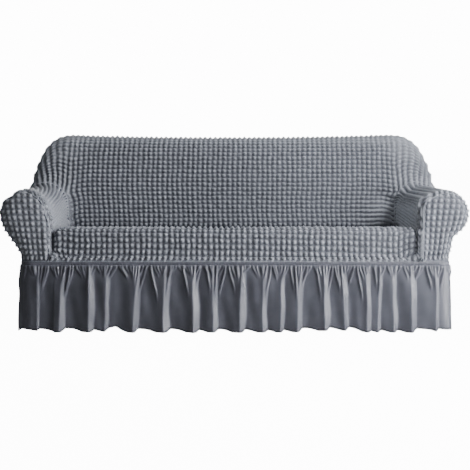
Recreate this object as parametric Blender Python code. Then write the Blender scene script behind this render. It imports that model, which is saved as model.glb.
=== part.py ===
"""A stretch slipcover for a three-seat sofa, in its fitted shape.

The cover is cut as an inside back, an outside back, a seat, two arms that wrap
over their rolls and two arm fronts, all in puffed bubble cloth, closed off by a
plain band that carries a gathered skirt in four lengths. The sofa itself is not
part of the object, so the cover is hollow.

X runs along the sofa, Y from front to back, Z up. Metres throughout.
The origin is on the floor, under the middle of the cover.
"""

import bpy
import numpy as np

# Cloth
CLOTH_THICKNESS = 0.004      # puffed cloth, from its back to the tops of its bubbles
BAND_THICKNESS = 0.0022
SKIRT_THICKNESS = 0.0012
SEAM_INSET = 0.0004          # each panel stops this far short of its seam line
CREASE_INSET = 0.0006        # and the seat a little further, down in its creases

# Arms: a roll on a post, carried from front to back
ARM_INNER = 0.822            # inner faces of the arms, from the middle
ARM_FRONT = -0.440
ARM_REAR = 0.425
ROLL_X = 0.955
ROLL_Z = 0.530
ARM_ROUNDING = 0.080         # softness of the arm's front edge
ARMS = {
    # side: radius of the roll, softness under it, top of the post, and how far inside the
    # arm's outline the front seam lies, over the roll and down the inner face
    -1: {"roll": 0.113, "under": 0.110, "post_top": 0.530, "inset": 0.011, "inner_inset": 0.011},
    +1: {"roll": 0.110, "under": 0.028, "post_top": 0.618, "inset": 0.011, "inner_inset": 0.031},
}
UNDER_INNER = 0.028          # the same softness on the arm's inner face
POST_OUTER = 0.988           # outer face of the post at POST_LEVEL
POST_LEVEL = 0.380
POST_TAPER = 0.150           # how fast the post narrows downwards
POST_SOFT = (0.020, 0.050)   # softness of the post's sides and of its top
UNDER_FROM, UNDER_TO = 0.880, 0.980     # the softness under the roll changes between these
INNER_FROM, INNER_TO = 0.905, 0.845     # and the inset of the front seam between these
REAR_SOFT = 0.060            # softness of the arm's rear edge
ARM_CORE_X = 0.900           # a place well inside both arms
ARM_CORE_Z = 0.450
CORE_REACHES = (0.010, 0.300)           # from there to the arm's outline, at the least and most
INNER_SHOULDER = 145.0       # degrees round the roll, from straight out
OUTER_SHOULDER = 42.0

# Back: a reclined slab with sloping shoulders, as wide as the arms
BACK_TILT = np.radians(12.0)
BACK_Y = 0.090               # inner face at BACK_LEVEL
BACK_LEVEL = 0.410
BACK_REAR = 0.420
BACK_DEPTHS = (-0.100, 0.300)           # the back's face lies between these
BACK_SIDE = 1.049
BACK_TOP = 0.899
BACK_SAG = 0.012             # the top dips this much at the middle
SAG_REACH = 0.800            # and is level beyond this
SHOULDER_X = 1.017           # a point on the slope of the shoulder
SHOULDER_Z = 0.756
SHOULDER_SLOPE = np.radians(28.0)
SIDE_SOFT = 0.050            # softness between the side and the shoulder
TOP_SOFT = 0.090             # and between the shoulder and the top
SHOULDER_ARC = ((0.842, 0.607), (0.190, 0.280))     # middle and radii of an arc close to both
BACK_EDGE = 0.085            # radius of the front edge
REAR_EDGE = 0.050
REAR_INSET = 0.032           # the rear seam lies this far inside the outline
FRONT_INSET = 0.0255         # and the front edge this far, at the top
SOFT_PER_RADIUS = 1.18       # softness that gives an edge its radius
WING_BOTTOM = 0.500          # below this the back is only as wide as WING_INNER
WING_INNER = 0.915

# Seat
SEAT_TOP = 0.479             # at its front edge
SEAT_FRONT = -0.424
SEAT_TILT = np.radians(6.0)
SEAT_EDGE = 0.055
SEAT_SIDE = 0.829
SEAT_TUCK = 0.018            # the creases lie this far below the seat
SEAT_BEHIND = 0.012          # the seat runs in this far behind the face of the back
CREASE_TURN = (0.016, 0.030)    # behind and below the seat's front edge, where the crease turns down
CREASE_END = (0.008, 0.083)     # before the back's face and below the seat's front edge, where it ends
PINCH = 0.022                # where arm, seat and arm front meet, above the band

# Band, and the rounded oblong along which it lies
BAND_TOP = 0.317
BAND_BOTTOM = 0.300
PULL_IN = 0.050              # the panels draw in to the band over this height
RAIL_X = 0.975
RAIL_FRONT = -0.428
RAIL_REAR = 0.412
RAIL_CORNER = 0.060
TOE_X = 0.846                # where the seat front ends on the band
RAIL_STATIONS = 5600         # places tried along the band to find the nearest one

# Skirt
SKIRT_FLARE = 0.015          # the hem stands this far out from the band
FLARE_POWER = 1.3            # above 1 the skirt falls straight first and flares lower down
FOLD_AT_BAND = 0.10          # share of a fold's depth that it has at the band
GATHER_DEPTH = 0.0012        # the cloth's waviness at the band
COLUMNS_PER_FOLD = 6
SKIRT_LEVELS = (0.0, 0.26, 1.0)
SKIRT_SEAM_X = 0.81          # the lengths of the skirt meet here, front and back
# Crests of the front folds, and how far each stands out at the hem
FRONT_FOLDS = (
    ("x", "depth"),
    (-0.79, 0.012), (-0.66, 0.014), (-0.59, 0.009), (-0.46, 0.013), (-0.325, 0.015), (-0.19, 0.015),
    (-0.10, 0.012), (0.02, 0.015), (0.12, 0.012), (0.20, 0.010), (0.28, 0.012), (0.40, 0.014),
    (0.49, 0.010), (0.59, 0.011), (0.64, 0.008), (0.71, 0.010), (0.79, 0.012),
)
SIDE_PITCHES = (0.11, 0.08, 0.10, 0.13, 0.07, 0.12, 0.09)     # between the other folds, in turn
SIDE_DEPTHS = (0.013, 0.010, 0.014, 0.015, 0.009)
# Height of the front hem above its lowest place
HEM_LIFTS = (
    ("x", "lift"),
    (-0.97, 0.010), (-0.82, 0.005), (-0.62, 0.018), (-0.57, 0.022), (-0.46, 0.005), (-0.35, 0.000),
    (0.11, 0.000), (0.22, 0.009), (0.33, 0.018), (0.54, 0.022), (0.61, 0.009), (0.80, 0.000),
    (0.83, 0.009), (0.97, 0.009),
)
SIDE_LIFT = 0.008            # the same at the sides and the back
SIDE_LIFT_SWING = 0.006      # rising and falling by this much
SIDE_LIFT_LENGTH = 1.23      # once in this length

# Colour, roughness and sheen of each cloth
BUBBLE_CLOTH = ((0.175, 0.190, 0.220), 0.72, 0.35)
PLAIN_CLOTH = ((0.150, 0.163, 0.190), 0.80, 0.25)

# How softly arm and back run into each other: sharp in the corner and at the rear, soft over the roll
JOIN_SHARP = 0.012
JOIN_SOFT = 0.050
JOIN_LEVELS = (0.50, 0.63)
JOIN_DEPTHS = (0.17, 0.30)
CROWDING = 0.38              # how much the columns of the seat and back crowd towards the arms
SHARP_ANGLE = np.radians(50.0)
SPLIT_ALONG = (0.37, 0.21, 1.0)     # rims are split by which end lies further this way

# Rows and columns of the panels. Neighbours share the points along their seam
MID_COLUMNS = 22             # across seat and back, between the arms
WING_COLUMNS = 6             # over a roll, from its inner to its outer shoulder
LOW_ROWS = 4                 # up the corner between arm and back
FACE_ROWS = 3                # from there to the front edge of the top
RIM_ROWS = 5                 # over the top to the rear seam
SEAT_ROWS = 7                # along the seat
DROP_ROWS = 3                # down the seat front to the pinch
SIDE_ROWS = LOW_ROWS + 1     # down the outer side of an arm
SHOULDER_ROW = LOW_ROWS + WING_COLUMNS
RAYS = 400                   # directions in which the arm's section is found


def smooth_min(a, b, k):
    """The lower of two fields, rounded where they differ by less than k."""
    share = np.clip(0.5 + 0.5 * (b - a) / k, 0, 1)
    return b + (a - b) * share - k * share * (1 - share)


def smooth_max(a, b, k):
    return -smooth_min(-a, -b, k)


def ease(low, high, value):
    """0 below low, 1 above high, with an S between."""
    t = np.clip((value - low) / (high - low), 0, 1)
    return t * t * (3 - 2 * t)


def arm_size(x, name):
    return np.where(x < 0, ARMS[-1][name], ARMS[1][name])


# ---- The form. A field is below zero inside its body, and about a distance outside it


def arm_section(p):
    """The arm seen from the front: a roll that flows into a narrower post."""
    out, z = np.abs(p[..., 0]), p[..., 2]
    roll = np.hypot(out - ROLL_X, z - ROLL_Z) - arm_size(p[..., 0], "roll")
    outer = POST_OUTER + POST_TAPER * (z - POST_LEVEL)
    post = smooth_max(ARM_INNER - out, out - outer, POST_SOFT[0])
    post = smooth_max(post, z - arm_size(p[..., 0], "post_top"), POST_SOFT[1])
    outward = ease(UNDER_FROM, UNDER_TO, out)
    under = UNDER_INNER + (arm_size(p[..., 0], "under") - UNDER_INNER) * outward
    return smooth_min(roll, post, under)


def front_seam(p):
    """Zero along the seam of the arm front, seen from the front."""
    inner = ease(INNER_FROM, INNER_TO, np.abs(p[..., 0]))
    inset = arm_size(p[..., 0], "inset")
    return arm_section(p) + inset + inner * (arm_size(p[..., 0], "inner_inset") - inset)


def arm_field(p):
    body = smooth_max(arm_section(p), ARM_FRONT - p[..., 1], ARM_ROUNDING)
    return smooth_max(body, p[..., 1] - ARM_REAR, REAR_SOFT)


def back_outline(p):
    """The back seen from the front: upright sides, sloping shoulders, a top that sags."""
    out, z = np.abs(p[..., 0]), p[..., 2]
    slope = (out - SHOULDER_X) * np.cos(SHOULDER_SLOPE) + (z - SHOULDER_Z) * np.sin(SHOULDER_SLOPE)
    top = z - BACK_TOP + BACK_SAG * (1 - np.clip(out / SAG_REACH, 0, 1) ** 2)
    outline = smooth_max(smooth_max(out - BACK_SIDE, slope, SIDE_SOFT), top, TOP_SOFT)
    return np.maximum(outline, np.minimum(WING_BOTTOM - z, out - WING_INNER))


def back_face(z):
    """Y of the back's inner face at a height."""
    return BACK_Y + (z - BACK_LEVEL) * np.tan(BACK_TILT)


def back_field(p):
    face = (back_face(p[..., 2]) - p[..., 1]) * np.cos(BACK_TILT)
    body = smooth_max(face, back_outline(p), SOFT_PER_RADIUS * BACK_EDGE)
    return smooth_max(body, p[..., 1] - BACK_REAR, SOFT_PER_RADIUS * REAR_EDGE)


def rail_field(p):
    """The rounded oblong on which the band lies, the same at every height."""
    middle, reach = (RAIL_FRONT + RAIL_REAR) / 2, (RAIL_REAR - RAIL_FRONT) / 2
    dx = np.abs(p[..., 0]) - (RAIL_X - RAIL_CORNER)
    dy = np.abs(p[..., 1] - middle) - (reach - RAIL_CORNER)
    outside = np.hypot(np.maximum(dx, 0), np.maximum(dy, 0))
    return outside + np.minimum(np.maximum(dx, dy), 0) - RAIL_CORNER


def drawn_in(field, p):
    """A body's field, drawn in to the rail near the band."""
    share = ease(0, PULL_IN, BAND_TOP + PULL_IN - p[..., 2])
    return (1 - share) * field + share * rail_field(p)


def frame_field(p):
    """Arms and back as one body."""
    soft = ease(*JOIN_LEVELS, p[..., 2]) * (1 - ease(*JOIN_DEPTHS, p[..., 1]))
    join = JOIN_SHARP + (JOIN_SOFT - JOIN_SHARP) * soft
    return drawn_in(smooth_min(arm_field(p), back_field(p), join), p)


def seat_field(p):
    x, y, z = p[..., 0], p[..., 1], p[..., 2]
    top = (z - SEAT_TOP) * np.cos(SEAT_TILT) + (y - SEAT_FRONT) * np.sin(SEAT_TILT)
    body = smooth_max(top, SEAT_FRONT - y, SEAT_EDGE)
    body = smooth_max(body, np.abs(x) - SEAT_SIDE, SEAT_EDGE)
    body = smooth_max(body, y - back_face(BACK_LEVEL) - SEAT_BEHIND, SEAT_EDGE)
    return drawn_in(body, p)


def slope_of(field, p, step=1e-5):
    """The gradient of a field, by central differences."""
    nudges = np.eye(3) * step
    return np.stack([(field(p + n) - field(p - n)) / (2 * step) for n in nudges], -1)


def settle(p, field, steps=16):
    """Points moved along the field's slope until they lie on its surface."""
    for _ in range(steps):
        slope = slope_of(field, p)
        p = p - slope * (field(p) / (slope**2).sum(-1))[..., None]
    return p


def settle_on_both(p, field, guide, steps=24):
    """Points moved the least way onto two surfaces at once."""
    for _ in range(steps):
        a, b = slope_of(field, p), slope_of(guide, p)
        aa, ab, bb = (a * a).sum(-1), (a * b).sum(-1), (b * b).sum(-1)
        fa, fb = field(p), guide(p)
        scale = aa * bb - ab * ab + 1e-6
        p = p - a * ((bb * fa - ab * fb) / scale)[..., None] - b * ((aa * fb - ab * fa) / scale)[..., None]
    return p


# ---- Lines and patches


def points(x, y, z):
    return np.stack(np.broadcast_arrays(x, y, z), -1).astype(float)


def line(start, end, count):
    """A straight row of points in count steps."""
    return start + (end - start) * np.linspace(0, 1, count + 1)[:, None]


def even(row, count):
    """A row of points dealt out again in count equal steps."""
    run = np.concatenate([[0], np.cumsum(np.linalg.norm(np.diff(row, axis=0), axis=1))])
    at = np.linspace(0, run[-1], count + 1)
    return np.stack([np.interp(at, run, row[:, axis]) for axis in range(3)], -1)


def chain(*rows):
    """Rows of points end to end, where each starts on the last point of the one before."""
    return np.concatenate([rows[0]] + [row[1:] for row in rows[1:]])


def patch(bottom, top, left, right, field):
    """A Coons patch between four edges, with its inner points settled on a field."""
    v = np.linspace(0, 1, len(left))[:, None, None]
    u = np.linspace(0, 1, len(bottom))[None, :, None]
    ruled = (1 - v) * bottom + v * top + (1 - u) * left[:, None] + u * right[:, None]
    corners = (1 - v) * ((1 - u) * bottom[0] + u * bottom[-1]) + v * ((1 - u) * top[0] + u * top[-1])
    grid = ruled - corners
    grid[1:-1, 1:-1] = settle(grid[1:-1, 1:-1], field)
    return grid


def rail_point(s):
    """Points of the rail at distances s along it, from its front middle towards +X."""
    half_x, half_y = RAIL_X - RAIL_CORNER, (RAIL_REAR - RAIL_FRONT) / 2 - RAIL_CORNER
    middle = (RAIL_REAR + RAIL_FRONT) / 2
    corner = RAIL_CORNER * np.pi / 2
    steps = [half_x, corner, 2 * half_y, corner, 2 * half_x, corner, 2 * half_y, corner, half_x]
    knots = np.concatenate([[0], np.cumsum(steps)])
    s = np.mod(s, knots[-1])
    cx = np.interp(s, knots, half_x * np.array([0, 1, 1, 1, 1, -1, -1, -1, -1, 0]))
    cy = np.interp(s, knots, middle + half_y * np.array([-1, -1, -1, 1, 1, 1, 1, -1, -1, -1]))
    turn = np.interp(s, knots, np.pi / 2 * np.array([0, 0, 1, 1, 2, 2, 3, 3, 4, 4]))
    outward = points(np.sin(turn), -np.cos(turn), 0)
    return points(cx, cy, 0) + RAIL_CORNER * outward, outward


RAIL_LENGTH = 4 * RAIL_X + 2 * (RAIL_REAR - RAIL_FRONT) - (8 - 2 * np.pi) * RAIL_CORNER


def rail_distance(p):
    """The distance along the rail of the place nearest to a point."""
    s = np.linspace(0, RAIL_LENGTH, RAIL_STATIONS, endpoint=False)
    return s[np.argmin(np.linalg.norm(rail_point(s)[0][:, :2] - p[:2], axis=1))]


def along_rail(start, end, count):
    """The top edge of the band between two of its points, the short way round."""
    a, b = rail_distance(start), rail_distance(end)
    b = a + (b - a + RAIL_LENGTH / 2) % RAIL_LENGTH - RAIL_LENGTH / 2
    row = rail_point(np.linspace(a, b, count + 1))[0]
    row[:, 2] = BAND_TOP
    return row


# ---- Seams and creases, each a row of points that its panels share


def crossing(value, limits, count):
    """Where each of count values falls to zero between two limits, found by halving."""
    near, far = np.full(count, limits[0]), np.full(count, limits[1])
    for _ in range(40):
        middle = (near + far) / 2
        above = value(middle) > 0
        near, far = np.where(above, middle, near), np.where(above, far, middle)
    return far


def arm_rows(side, low):
    """The arm's section in rows: up the inner face, over the roll, and down to the band."""
    core = points(side * ARM_CORE_X, 0, ARM_CORE_Z)
    first = np.arctan2(low - ARM_CORE_Z, ARM_INNER - ARM_CORE_X) % (2 * np.pi)
    last = np.arctan2(BAND_TOP - ARM_CORE_Z, RAIL_X - ARM_CORE_X)
    turn = np.linspace(first, last, RAYS)
    ray = points(side * np.cos(turn), 0, np.sin(turn))
    reach = crossing(lambda reach: -arm_section(core + ray * reach[:, None]), CORE_REACHES, RAYS)
    row = core + ray * reach[:, None]
    round_roll = np.degrees(np.arctan2(row[:, 2] - ROLL_Z, side * row[:, 0] - ROLL_X)) % 360
    inner = np.argmin(np.abs(round_roll - INNER_SHOULDER))
    outer = np.argmin(np.abs(round_roll - OUTER_SHOULDER))
    return chain(
        even(row[: inner + 1], LOW_ROWS),
        even(row[inner : outer + 1], WING_COLUMNS),
        even(row[outer:], SIDE_ROWS),
    )


def enters_back(p):
    """The points moved along Y to where they first meet the back."""
    y = crossing(lambda y: back_field(points(p[:, 0], y, p[:, 2])), BACK_DEPTHS, len(p))
    return points(p[:, 0], y, p[:, 2])


def set_in(row, inset):
    """Points of the back's outline moved inwards, at right angles to it."""
    slope = slope_of(back_outline, row)
    slope = slope / np.linalg.norm(slope, axis=-1, keepdims=True)
    return row - slope * np.broadcast_to(inset, len(row))[:, None]


def edge_fall(radius, inset):
    """How far a rounded edge has fallen back where its outline is set in by inset."""
    return radius - np.sqrt(np.maximum(radius**2 - (radius - inset) ** 2, 0))


def on_band(p):
    """Points brought level with the top of the band, on the rail."""
    return settle(points(p[..., 0], p[..., 1], BAND_TOP), frame_field)


def back_columns(row_left, row_right):
    """Places across the back between two end points, closer together at the ends."""
    t = np.linspace(-1, 1, MID_COLUMNS + 1)
    share = 0.5 + 0.5 * ((1 - CROWDING) * t + CROWDING * np.sin(t * np.pi / 2))
    return row_left + (row_right - row_left) * share[:, None]


def side_seams(side):
    """The seams of one arm and of the end of the back above it."""
    # front seam: a little inside the arm's outline, from the pinch over the roll to the band
    front = settle(arm_rows(side, BAND_TOP + PINCH), front_seam)
    front[:, 1] = ARM_FRONT + ARM_ROUNDING / 4
    front = settle_on_both(front, frame_field, front_seam)
    front[-1] = on_band(front[-1])
    # foot: from the pinch up the seat front, then along the crease between seat and arm
    turn = points(side * ARM_INNER, SEAT_FRONT + CREASE_TURN[0], SEAT_TOP - CREASE_TURN[1])
    end = points(side * ARM_INNER, back_face(BACK_LEVEL) - CREASE_END[0], SEAT_TOP - CREASE_END[1])
    foot = chain(line(front[0], turn, DROP_ROWS), line(turn, end, SEAT_ROWS))
    foot = settle_on_both(foot, seat_field, frame_field)
    foot[0] = front[0]
    # join: from the end of the foot up the corner and over the roll, where arm meets back
    join = enters_back(arm_rows(side, foot[-1, 2])[: SHOULDER_ROW + 1])
    join = settle(join, frame_field)
    join[0] = foot[-1]
    # edges of the back round its shoulder: its front ridge and its rear seam
    angle = np.linspace(0, np.pi / 2, WING_COLUMNS + 1)
    middle, radii = SHOULDER_ARC
    outline = points(side * (middle[0] + radii[0] * np.cos(angle)), 0, middle[1] + radii[1] * np.sin(angle))
    outline = settle(outline, back_outline)
    inset = FRONT_INSET * np.linspace(0, 1, WING_COLUMNS + 1)
    ridge = set_in(outline, inset)
    ridge[:, 1] = back_face(ridge[:, 2]) + edge_fall(BACK_EDGE, inset)
    rear = set_in(outline, REAR_INSET)
    rear[:, 1] = BACK_REAR - edge_fall(REAR_EDGE, REAR_INSET)
    ridge, rear = settle(ridge, frame_field), settle(rear, frame_field)
    # flank: along the side of the back, above the arm's outer shoulder
    flank = chain(line(join[-1], ridge[0], FACE_ROWS), line(ridge[0], rear[0], RIM_ROWS))
    flank[1:-1] = settle(flank[1:-1], frame_field)
    # tail: down the arm's outer rear edge
    tail = settle(arm_rows(side, BAND_TOP)[SHOULDER_ROW:], lambda p: arm_section(p) + REAR_INSET)
    tail[:, 1] = BACK_REAR - edge_fall(REAR_EDGE, REAR_INSET)
    tail = settle(tail, frame_field)
    tail[0] = rear[0]
    tail[-1] = on_band(tail[-1])
    # brow: along the arm's outer shoulder, from the front seam to the join
    brow = line(front[SHOULDER_ROW], join[-1], DROP_ROWS + SEAT_ROWS)
    brow[1:-1] = settle(brow[1:-1], frame_field)
    # toe: from the pinch down to the band, between the seat front and the arm front
    toe = line(front[0], points(side * TOE_X, RAIL_FRONT, BAND_TOP), 1)
    return {
        "front": front, "foot": foot, "join": join, "ridge": ridge, "rear": rear,
        "flank": flank, "tail": tail, "brow": brow, "toe": toe,
    }


# ---- Panels, each a grid of points with the field that it lies on


def seat_grid(left, right, crease):
    """The seat, from the crease before the back, over its front edge, down to the band."""
    ends = [chain(side["foot"][::-1], side["toe"]) for side in (left, right)]
    band = along_rail(left["toe"][-1], right["toe"][-1], MID_COLUMNS)
    return patch(crease, band, *ends, seat_field)


def arm_grid(side):
    """Inner face and roll up to the back, and the outer side all the way to the rear."""
    columns, extra = DROP_ROWS + SEAT_ROWS, FACE_ROWS + RIM_ROWS
    grid = np.full((SHOULDER_ROW + SIDE_ROWS + 1, columns + extra + 1, 3), np.nan)
    front = side["front"]
    band = along_rail(front[-1], side["tail"][-1], columns + extra)
    grid[SHOULDER_ROW:] = patch(
        chain(side["brow"], side["flank"]), band, front[SHOULDER_ROW:], side["tail"], frame_field
    )
    grid[: SHOULDER_ROW + 1, : columns + 1] = patch(
        side["foot"], side["brow"], front[: SHOULDER_ROW + 1], side["join"], frame_field
    )
    return grid


def front_grid(side):
    """The arm front, inside its seam."""
    front, toe = side["front"], side["toe"]
    inner = chain(toe[::-1], front[: LOW_ROWS + 1])
    outer = front[SHOULDER_ROW:][::-1]
    band = along_rail(toe[-1], front[-1], WING_COLUMNS)
    return patch(band, front[LOW_ROWS : SHOULDER_ROW + 1], inner, outer, frame_field)


def back_grid(left, right, crease):
    """The inside back, over its wings and top to the rear seam."""
    columns = MID_COLUMNS + 2 * WING_COLUMNS
    grid = np.full((LOW_ROWS + FACE_ROWS + RIM_ROWS + 1, columns + 1, 3), np.nan)
    middle = slice(WING_COLUMNS, WING_COLUMNS + MID_COLUMNS + 1)

    def across(name, inner):
        """The middle of a row, from one wing to the other."""
        row = settle(back_columns(left[name][inner], right[name][inner]), frame_field)
        row[0], row[-1] = left[name][inner], right[name][inner]
        return row

    level = across("join", LOW_ROWS)
    low = patch(crease, level, left["join"][: LOW_ROWS + 1], right["join"][: LOW_ROWS + 1], frame_field)
    bottom = chain(left["join"][LOW_ROWS:][::-1], level, right["join"][LOW_ROWS:])
    ridge = chain(left["ridge"], across("ridge", -1), right["ridge"][::-1])
    rear = chain(left["rear"], across("rear", -1), right["rear"][::-1])
    grid[LOW_ROWS : LOW_ROWS + FACE_ROWS + 1] = patch(
        bottom, ridge, left["flank"][: FACE_ROWS + 1], right["flank"][: FACE_ROWS + 1], frame_field
    )
    grid[LOW_ROWS + FACE_ROWS :] = patch(
        ridge, rear, left["flank"][FACE_ROWS:], right["flank"][FACE_ROWS:], frame_field
    )
    grid[: LOW_ROWS + 1, middle] = low
    return grid, rear


def outside_grid(left, right, rear):
    """The outside back, flat between the rear seam and the band."""
    band = along_rail(left["tail"][-1], right["tail"][-1], len(rear) - 1)
    return patch(band, rear, left["tail"][::-1], right["tail"][::-1], frame_field)


# ---- Cloth from grids


def cells(grid):
    """The four-cornered faces of a grid, leaving out those with an unused corner."""
    rows, columns = grid.shape[:2]
    number = np.arange(rows * columns).reshape(rows, columns)
    faces = np.stack([number[:-1, :-1], number[:-1, 1:], number[1:, 1:], number[1:, :-1]], -1).reshape(-1, 4)
    used = ~np.isnan(grid[..., 0]).reshape(-1)
    return faces[used[faces].all(axis=1)]


def border(faces):
    """The open edges of a sheet, each as it runs in its one face."""
    edges = np.concatenate([faces[:, [i, (i + 1) % 4]] for i in range(4)])
    both = {tuple(edge) for edge in edges}
    return np.array([edge for edge in edges if (edge[1], edge[0]) not in both])


def split(faces):
    """Four-cornered faces cut from their first corner to their third."""
    return np.concatenate([faces[:, [0, 1, 2]], faces[:, [0, 2, 3]]])


def halved(vertices, faces):
    """Four-cornered faces cut along their shorter diagonal."""
    first = np.linalg.norm(vertices[faces[:, 0]] - vertices[faces[:, 2]], axis=1)
    second = np.linalg.norm(vertices[faces[:, 1]] - vertices[faces[:, 3]], axis=1)
    return split(np.where((first < second)[:, None], faces, np.roll(faces, 1, axis=1)))


def sheet(outer, outward, thickness, faces, inset=0.0):
    """A closed solid: outer points, inner points behind them, and a rim round the border."""
    edges = border(faces)
    along = outer[edges[:, 1]] - outer[edges[:, 0]]
    inward = np.cross(outward[edges[:, 0]] + outward[edges[:, 1]], along)
    inward /= np.linalg.norm(inward, axis=1, keepdims=True)
    shift = np.zeros_like(outer)
    for end in (0, 1):
        np.add.at(shift, edges[:, end], inward)
    size = np.linalg.norm(shift, axis=1, keepdims=True)
    outer = outer + inset * np.divide(2 * shift, size**2, out=np.zeros_like(shift), where=size > 0)
    inner = outer - thickness * outward
    count = len(outer)
    rim = np.stack([edges[:, 1], edges[:, 0], edges[:, 0] + count, edges[:, 1] + count], -1)
    # rims that face each other are split along the same diagonal, so that a twisted seam stays clear
    order = outer @ SPLIT_ALONG
    turned = order[edges[:, 0]] > order[edges[:, 1]]
    rim[turned] = np.roll(rim[turned], -1, axis=1)
    walls = halved(outer, faces)
    return np.concatenate([outer, inner]), np.concatenate([walls, walls[:, ::-1] + count, split(rim)])


def panel(grid, field, inset=SEAM_INSET):
    """A grid made into puffed cloth, the tops of its bubbles on the grid."""
    faces = cells(grid)
    used, faces = np.unique(faces, return_inverse=True)
    faces = faces.reshape(-1, 4)
    outer = grid.reshape(-1, 3)[used]
    outward = slope_of(field, outer)
    outward /= np.linalg.norm(outward, axis=1, keepdims=True)
    across = np.cross(outer[faces[:, 2]] - outer[faces[:, 0]], outer[faces[:, 3]] - outer[faces[:, 1]])
    if (across * outward[faces[:, 0]]).sum() < 0:
        faces = faces[:, ::-1]
    return sheet(outer, outward, CLOTH_THICKNESS, faces, inset)


def band_ring(stations):
    """The plain strip between the panels and the skirt, one closed ring."""
    place, outward = rail_point(stations)
    level = np.array([BAND_TOP - SEAM_INSET, BAND_BOTTOM])
    ring = np.stack([
        place + [0, 0, level[0]],
        place + [0, 0, level[1]],
        place - BAND_THICKNESS * outward + [0, 0, level[1]],
        place - BAND_THICKNESS * outward + [0, 0, level[0]],
    ])
    count = len(stations)
    here = np.arange(count)
    ahead = (here + 1) % count
    faces = [
        np.stack([here + i * count, here + j * count, ahead + j * count, ahead + i * count], -1)
        for i, j in ((0, 1), (1, 2), (2, 3), (3, 0))
    ]
    return ring.reshape(-1, 3), split(np.concatenate(faces))


def skirt_folds():
    """Distance along the rail and depth of every fold, once round from the front middle."""
    front = np.array(FRONT_FOLDS[1:])
    start, end = front[-1, 0], RAIL_LENGTH + front[0, 0]
    pitches = np.resize(SIDE_PITCHES, int((end - start) / np.mean(SIDE_PITCHES)))
    rest = start + np.cumsum(pitches) * (end - start) / pitches.sum()
    place = np.concatenate([front[:, 0], rest[:-1]])
    depth = np.concatenate([front[:, 1], np.resize(SIDE_DEPTHS, len(rest) - 1)])
    return place, depth


def skirt_points(s, level):
    """The skirt's cloth at distance s along the rail, level 0 at the band to 1 at the hem."""
    crest, depth = skirt_folds()
    crest = np.concatenate([crest, crest[:1] + RAIL_LENGTH])
    depth = np.concatenate([depth, depth[:1]])
    s_round = crest[0] + np.mod(s - crest[0], RAIL_LENGTH)
    phase = np.interp(s_round, crest, np.arange(len(crest)))
    swing = np.cos(2 * np.pi * phase) * np.interp(s_round, crest, depth)
    place, outward = rail_point(s)
    share = FOLD_AT_BAND + (1 - FOLD_AT_BAND) * level
    out = SKIRT_FLARE * level**FLARE_POWER + swing * share - GATHER_DEPTH
    table = np.array(HEM_LIFTS[1:])
    front_lift = np.interp(place[..., 0], table[:, 0], table[:, 1])
    side_lift = SIDE_LIFT + SIDE_LIFT_SWING * np.sin(2 * np.pi * s / SIDE_LIFT_LENGTH)
    lift = front_lift + (side_lift - front_lift) * ease(RAIL_FRONT, 0, place[..., 1])
    top = BAND_BOTTOM - SEAM_INSET
    z = top + (lift - top) * level
    return place + outward * out[..., None] + points(0, 0, z)


def skirt_length(start, end):
    """One length of the skirt between two distances along the rail, as a closed sheet."""
    crest = skirt_folds()[0]
    crest = np.concatenate([crest - RAIL_LENGTH, crest, crest + RAIL_LENGTH])
    phase = np.arange(len(crest))
    first, last = np.interp([start + SEAM_INSET, end - SEAM_INSET], crest, phase)
    count = int(np.ceil((last - first) * COLUMNS_PER_FOLD))
    s = np.interp(np.linspace(first, last, count + 1), phase, crest)
    level = np.array(SKIRT_LEVELS)[:, None]
    grid = skirt_points(s[None, :] + 0 * level, level + 0 * s[None, :])
    return sheet_of_grid(grid, SKIRT_THICKNESS)


def sheet_of_grid(grid, thickness):
    """A grid that hangs by itself made into a closed sheet, with thickness to either side."""
    across, down = np.gradient(grid, axis=1), np.gradient(grid, axis=0)
    outward = np.cross(down, across)
    outward /= np.linalg.norm(outward, axis=-1, keepdims=True)
    outer = (grid + outward * thickness / 2).reshape(-1, 3)
    faces = cells(grid)[:, ::-1]
    return sheet(outer, outward.reshape(-1, 3), thickness, faces)


# ---- Blender objects

def material_for(name, finish):
    colour, roughness, sheen = finish
    material = bpy.data.materials.new(name)
    material.use_nodes = True
    shader = material.node_tree.nodes["Principled BSDF"]
    shader.inputs["Base Color"].default_value = (*colour, 1)
    shader.inputs["Roughness"].default_value = roughness
    shader.inputs["Metallic"].default_value = 0
    shader.inputs["Sheen Weight"].default_value = sheen
    material.diffuse_color = (*colour, 1)
    return material


def add_object(name, vertices, faces, finish, collection):
    mesh = bpy.data.meshes.new(name)
    mesh.from_pydata(vertices.tolist(), [], faces.tolist())
    mesh.shade_smooth()
    mesh.set_sharp_from_angle(angle=SHARP_ANGLE)
    mesh.materials.append(material_for(name + "_cloth", finish))
    collection.objects.link(bpy.data.objects.new(name, mesh))


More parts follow.
